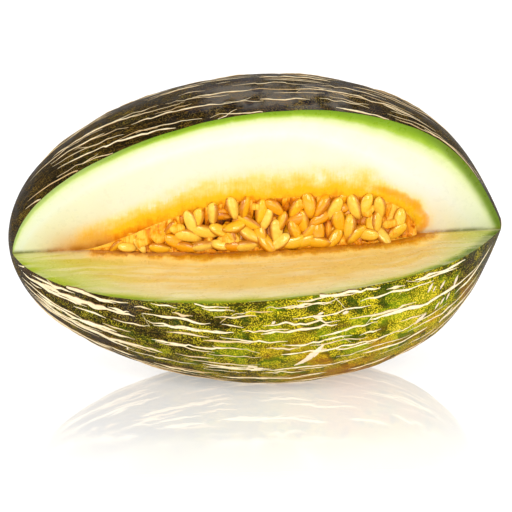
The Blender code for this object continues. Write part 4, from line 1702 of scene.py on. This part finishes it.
# Lumps of pulp that still cling to the seeds: (x, share from the lower edge, length, width)
PULP_LUMPS = (
    (-0.0210, 0.30, 0.0120, 0.0075),
    (-0.0165, 0.16, 0.0080, 0.0050),
    (-0.0470, 0.78, 0.0090, 0.0055),
    (-0.0560, 0.62, 0.0085, 0.0060),
    (-0.0640, 0.55, 0.0080, 0.0055),
    (0.0500, 0.80, 0.0075, 0.0050),
    (0.0610, 0.52, 0.0080, 0.0055),
    (0.0645, 0.30, 0.0070, 0.0045),
    (0.0150, 0.90, 0.0070, 0.0040),
    (-0.0060, 0.92, 0.0065, 0.0040),
)
LUMP_SEED = 53
LUMP_STANDS_OUT = 0.0016
LUMP_THICKNESS = 0.0044
LUMP_RINGS = 9
LUMP_SIDES = 14
LUMP_LEAN = (0.9, 1.9)
LUMP_UNEVEN = 0.3
LUMP_CREST = 0.95
LUMP_END_CREST = 0.8


def build_lumps(look):
    """Ragged lumps of pulp over some of the seeds."""
    heap = Heap()
    draw = random.Random(LUMP_SEED)
    turns = 2 * math.pi * np.arange(LUMP_SIDES) / LUMP_SIDES
    for x, share, length, width in PULP_LUMPS:
        lean = draw.uniform(*LUMP_LEAN)
        centre, long_axis, flat = seed_place(x, share, lean, draw, LUMP_STANDS_OUT)
        across = long_axis.cross(flat)
        bumps = swells(draw.randrange(1000), 6, 0.003, 0.007)
        rings, crests = [], []
        for i in range(LUMP_RINGS + 1):
            t = 0.5 - 0.5 * math.cos(math.pi * i / LUMP_RINGS)
            middle = centre + long_axis * length * (t - 0.5)
            if i in (0, LUMP_RINGS):
                rings.append(np.array(middle))
                crests.append(LUMP_END_CREST)
                continue
            girth = math.sin(math.pi * i / LUMP_RINGS)
            wide, thick = width / 2 * girth, LUMP_THICKNESS / 2 * girth
            ring = np.array([
                middle + across * (math.cos(turn) * wide) + flat * (math.sin(turn) * thick)
                for turn in turns
            ])
            uneven = 1 + LUMP_UNEVEN * sum_of(bumps, ring)
            rings.append(np.array(middle) + (ring - np.array(middle)) * uneven[:, None])
            crests.append(LUMP_CREST)
        runs = [np.atleast_2d(cut_place(ring)) for ring in rings]
        heap.add_tube(rings, {"crest": crests, "cut_place": runs})
    heap.make("pulp_lumps", look, "seed_cluster")


# Stage, light and camera

# The floor runs up into a backdrop with a rounded corner
FLOOR_HALF_WIDTH = 4
FLOOR_FRONT = -3.0
CORNER_START = 1.6
CORNER_RADIUS = 0.8
CORNER_STEPS = 12
BACKDROP_HEIGHT = 3.0

WORLD_STRENGTH = 0.42

# Softboxes, all turned to the middle of the fruit: name, place, size, power
SOFTBOXES = (
    ("front_softbox", (0.1, -1.6, 0.75), (1.0, 0.7), 14),
    ("small_softbox", (-0.25, -1.2, 1.0), (0.14, 0.14), 2.6),
    ("left_softbox", (-1.5, -0.7, 0.7), (0.7, 0.7), 5),
    ("right_softbox", (1.5, -0.7, 0.7), (0.7, 0.7), 5),
    ("top_softbox", (0, 0.5, 1.6), (0.8, 0.5), 4),
)

# The camera stands in front of the fruit at CAMERA_RISE and is moved sideways and up a little
CAMERA_RISE = math.radians(17)
CAMERA_DISTANCE = 1.1
CAMERA_ROLL = math.radians(-1.2)
CAMERA_LENS = 150.7
CAMERA_RIGHT = -0.0072
CAMERA_UP = -0.0139


def floor_look():
    """A pale floor that is glossy by the fruit and duller towards the camera."""
    tree, shader, made = new_look(
        "studio_floor", IOR=2.5, Specular_IOR_Level=1.0, Emission_Strength=0.34
    )
    shader.inputs["Emission Color"].default_value = (1.0, 1.0, 1.0, 1.0)
    shade = noise(tree, place(tree), 3.0, 2, 0.5)
    pale = blend(tree, shade, colour(250, 250, 250), colour(253, 253, 253))
    tree.links.new(pale, shader.inputs["Base Color"])
    depth = node(tree, "SeparateXYZ", {0: place(tree)}).outputs[1]
    tree.links.new(remap(tree, depth, -0.20, -0.045, 0.42, 0.02), shader.inputs["Roughness"])
    return made


def build_stage(look):
    """A plain pale floor that runs up into a backdrop."""
    profile = [(FLOOR_FRONT, 0.0)]
    for i in range(CORNER_STEPS + 1):
        turn = math.pi / 2 * i / CORNER_STEPS
        height = CORNER_RADIUS - CORNER_RADIUS * math.cos(turn)
        profile.append((CORNER_START + CORNER_RADIUS * math.sin(turn), height))
    profile.append((CORNER_START + CORNER_RADIUS, BACKDROP_HEIGHT))
    points = [(side * FLOOR_HALF_WIDTH, y, z) for y, z in profile for side in (-1, 1)]
    faces = [(2 * i, 2 * i + 1, 2 * i + 3, 2 * i + 2) for i in range(len(profile) - 1)]
    mesh = bpy.data.meshes.new("floor")
    mesh.from_pydata(points, [], faces)
    mesh.shade_smooth()
    mesh.materials.append(look)
    floor = bpy.data.objects.new("floor", mesh)
    bpy.context.scene.collection.objects.link(floor)


def add_softbox(name, spot, target, size, power):
    """An oblong area light at a spot, turned to a target."""
    lamp = bpy.data.lights.new(name, "AREA")
    lamp.shape = "RECTANGLE"
    lamp.size, lamp.size_y = size
    lamp.energy = power
    holder = bpy.data.objects.new(name, lamp)
    holder.location = spot
    holder.rotation_euler = (Vector(target) - Vector(spot)).to_track_quat("-Z", "Y").to_euler()
    bpy.context.scene.collection.objects.link(holder)


def build_camera():
    """The camera of the photo: slightly above the fruit and turned by a small roll."""
    lens = bpy.data.cameras.new("camera")
    lens.lens = CAMERA_LENS
    lens.sensor_width = 36
    camera = bpy.data.objects.new("camera", lens)
    bpy.context.scene.collection.objects.link(camera)
    back = Vector((0, -math.cos(CAMERA_RISE), math.sin(CAMERA_RISE)))
    up = Vector((0, math.sin(CAMERA_RISE), math.cos(CAMERA_RISE)))
    spot = Vector((0, 0, AXIS_HEIGHT)) + back * CAMERA_DISTANCE
    spot = spot + Vector((1, 0, 0)) * CAMERA_RIGHT + up * CAMERA_UP
    turn = Matrix.Rotation(math.pi / 2 - CAMERA_RISE, 4, "X") @ Matrix.Rotation(CAMERA_ROLL, 4, "Z")
    camera.matrix_world = Matrix.Translation(spot) @ turn
    bpy.context.scene.camera = camera


def build_light():
    """Even white light from all round, and the softboxes."""
    world = bpy.data.worlds.new("studio_air")
    world.use_nodes = True
    air = world.node_tree.nodes["Background"]
    air.inputs["Color"].default_value = (1.0, 1.0, 1.0, 1.0)
    air.inputs["Strength"].default_value = WORLD_STRENGTH
    bpy.context.scene.world = world
    for name, spot, size, power in SOFTBOXES:
        add_softbox(name, spot, (0, 0, AXIS_HEIGHT), size, power)
    bpy.context.scene.view_settings.view_transform = "Standard"
    bpy.context.scene.view_settings.look = "None"


def main():
    """All looks, all pieces, and the stage."""
    build_rind(rind_look())
    build_flesh(flesh_look())
    cork = cork_look("net_cork", colour(255, 246, 208), colour(198, 150, 72), colour(120, 70, 14))
    build_net(cork)
    build_fine_net(cork)
    build_scars(cork_look("scar_cork", colour(240, 224, 196), colour(206, 176, 132), colour(132, 84, 30)))
    pulp = pulp_look()
    build_pulp(pulp)
    build_tongues(pulp)
    build_lumps(pulp)
    build_seeds(seed_look())
    build_stage(floor_look())
    build_light()
    build_camera()


main()
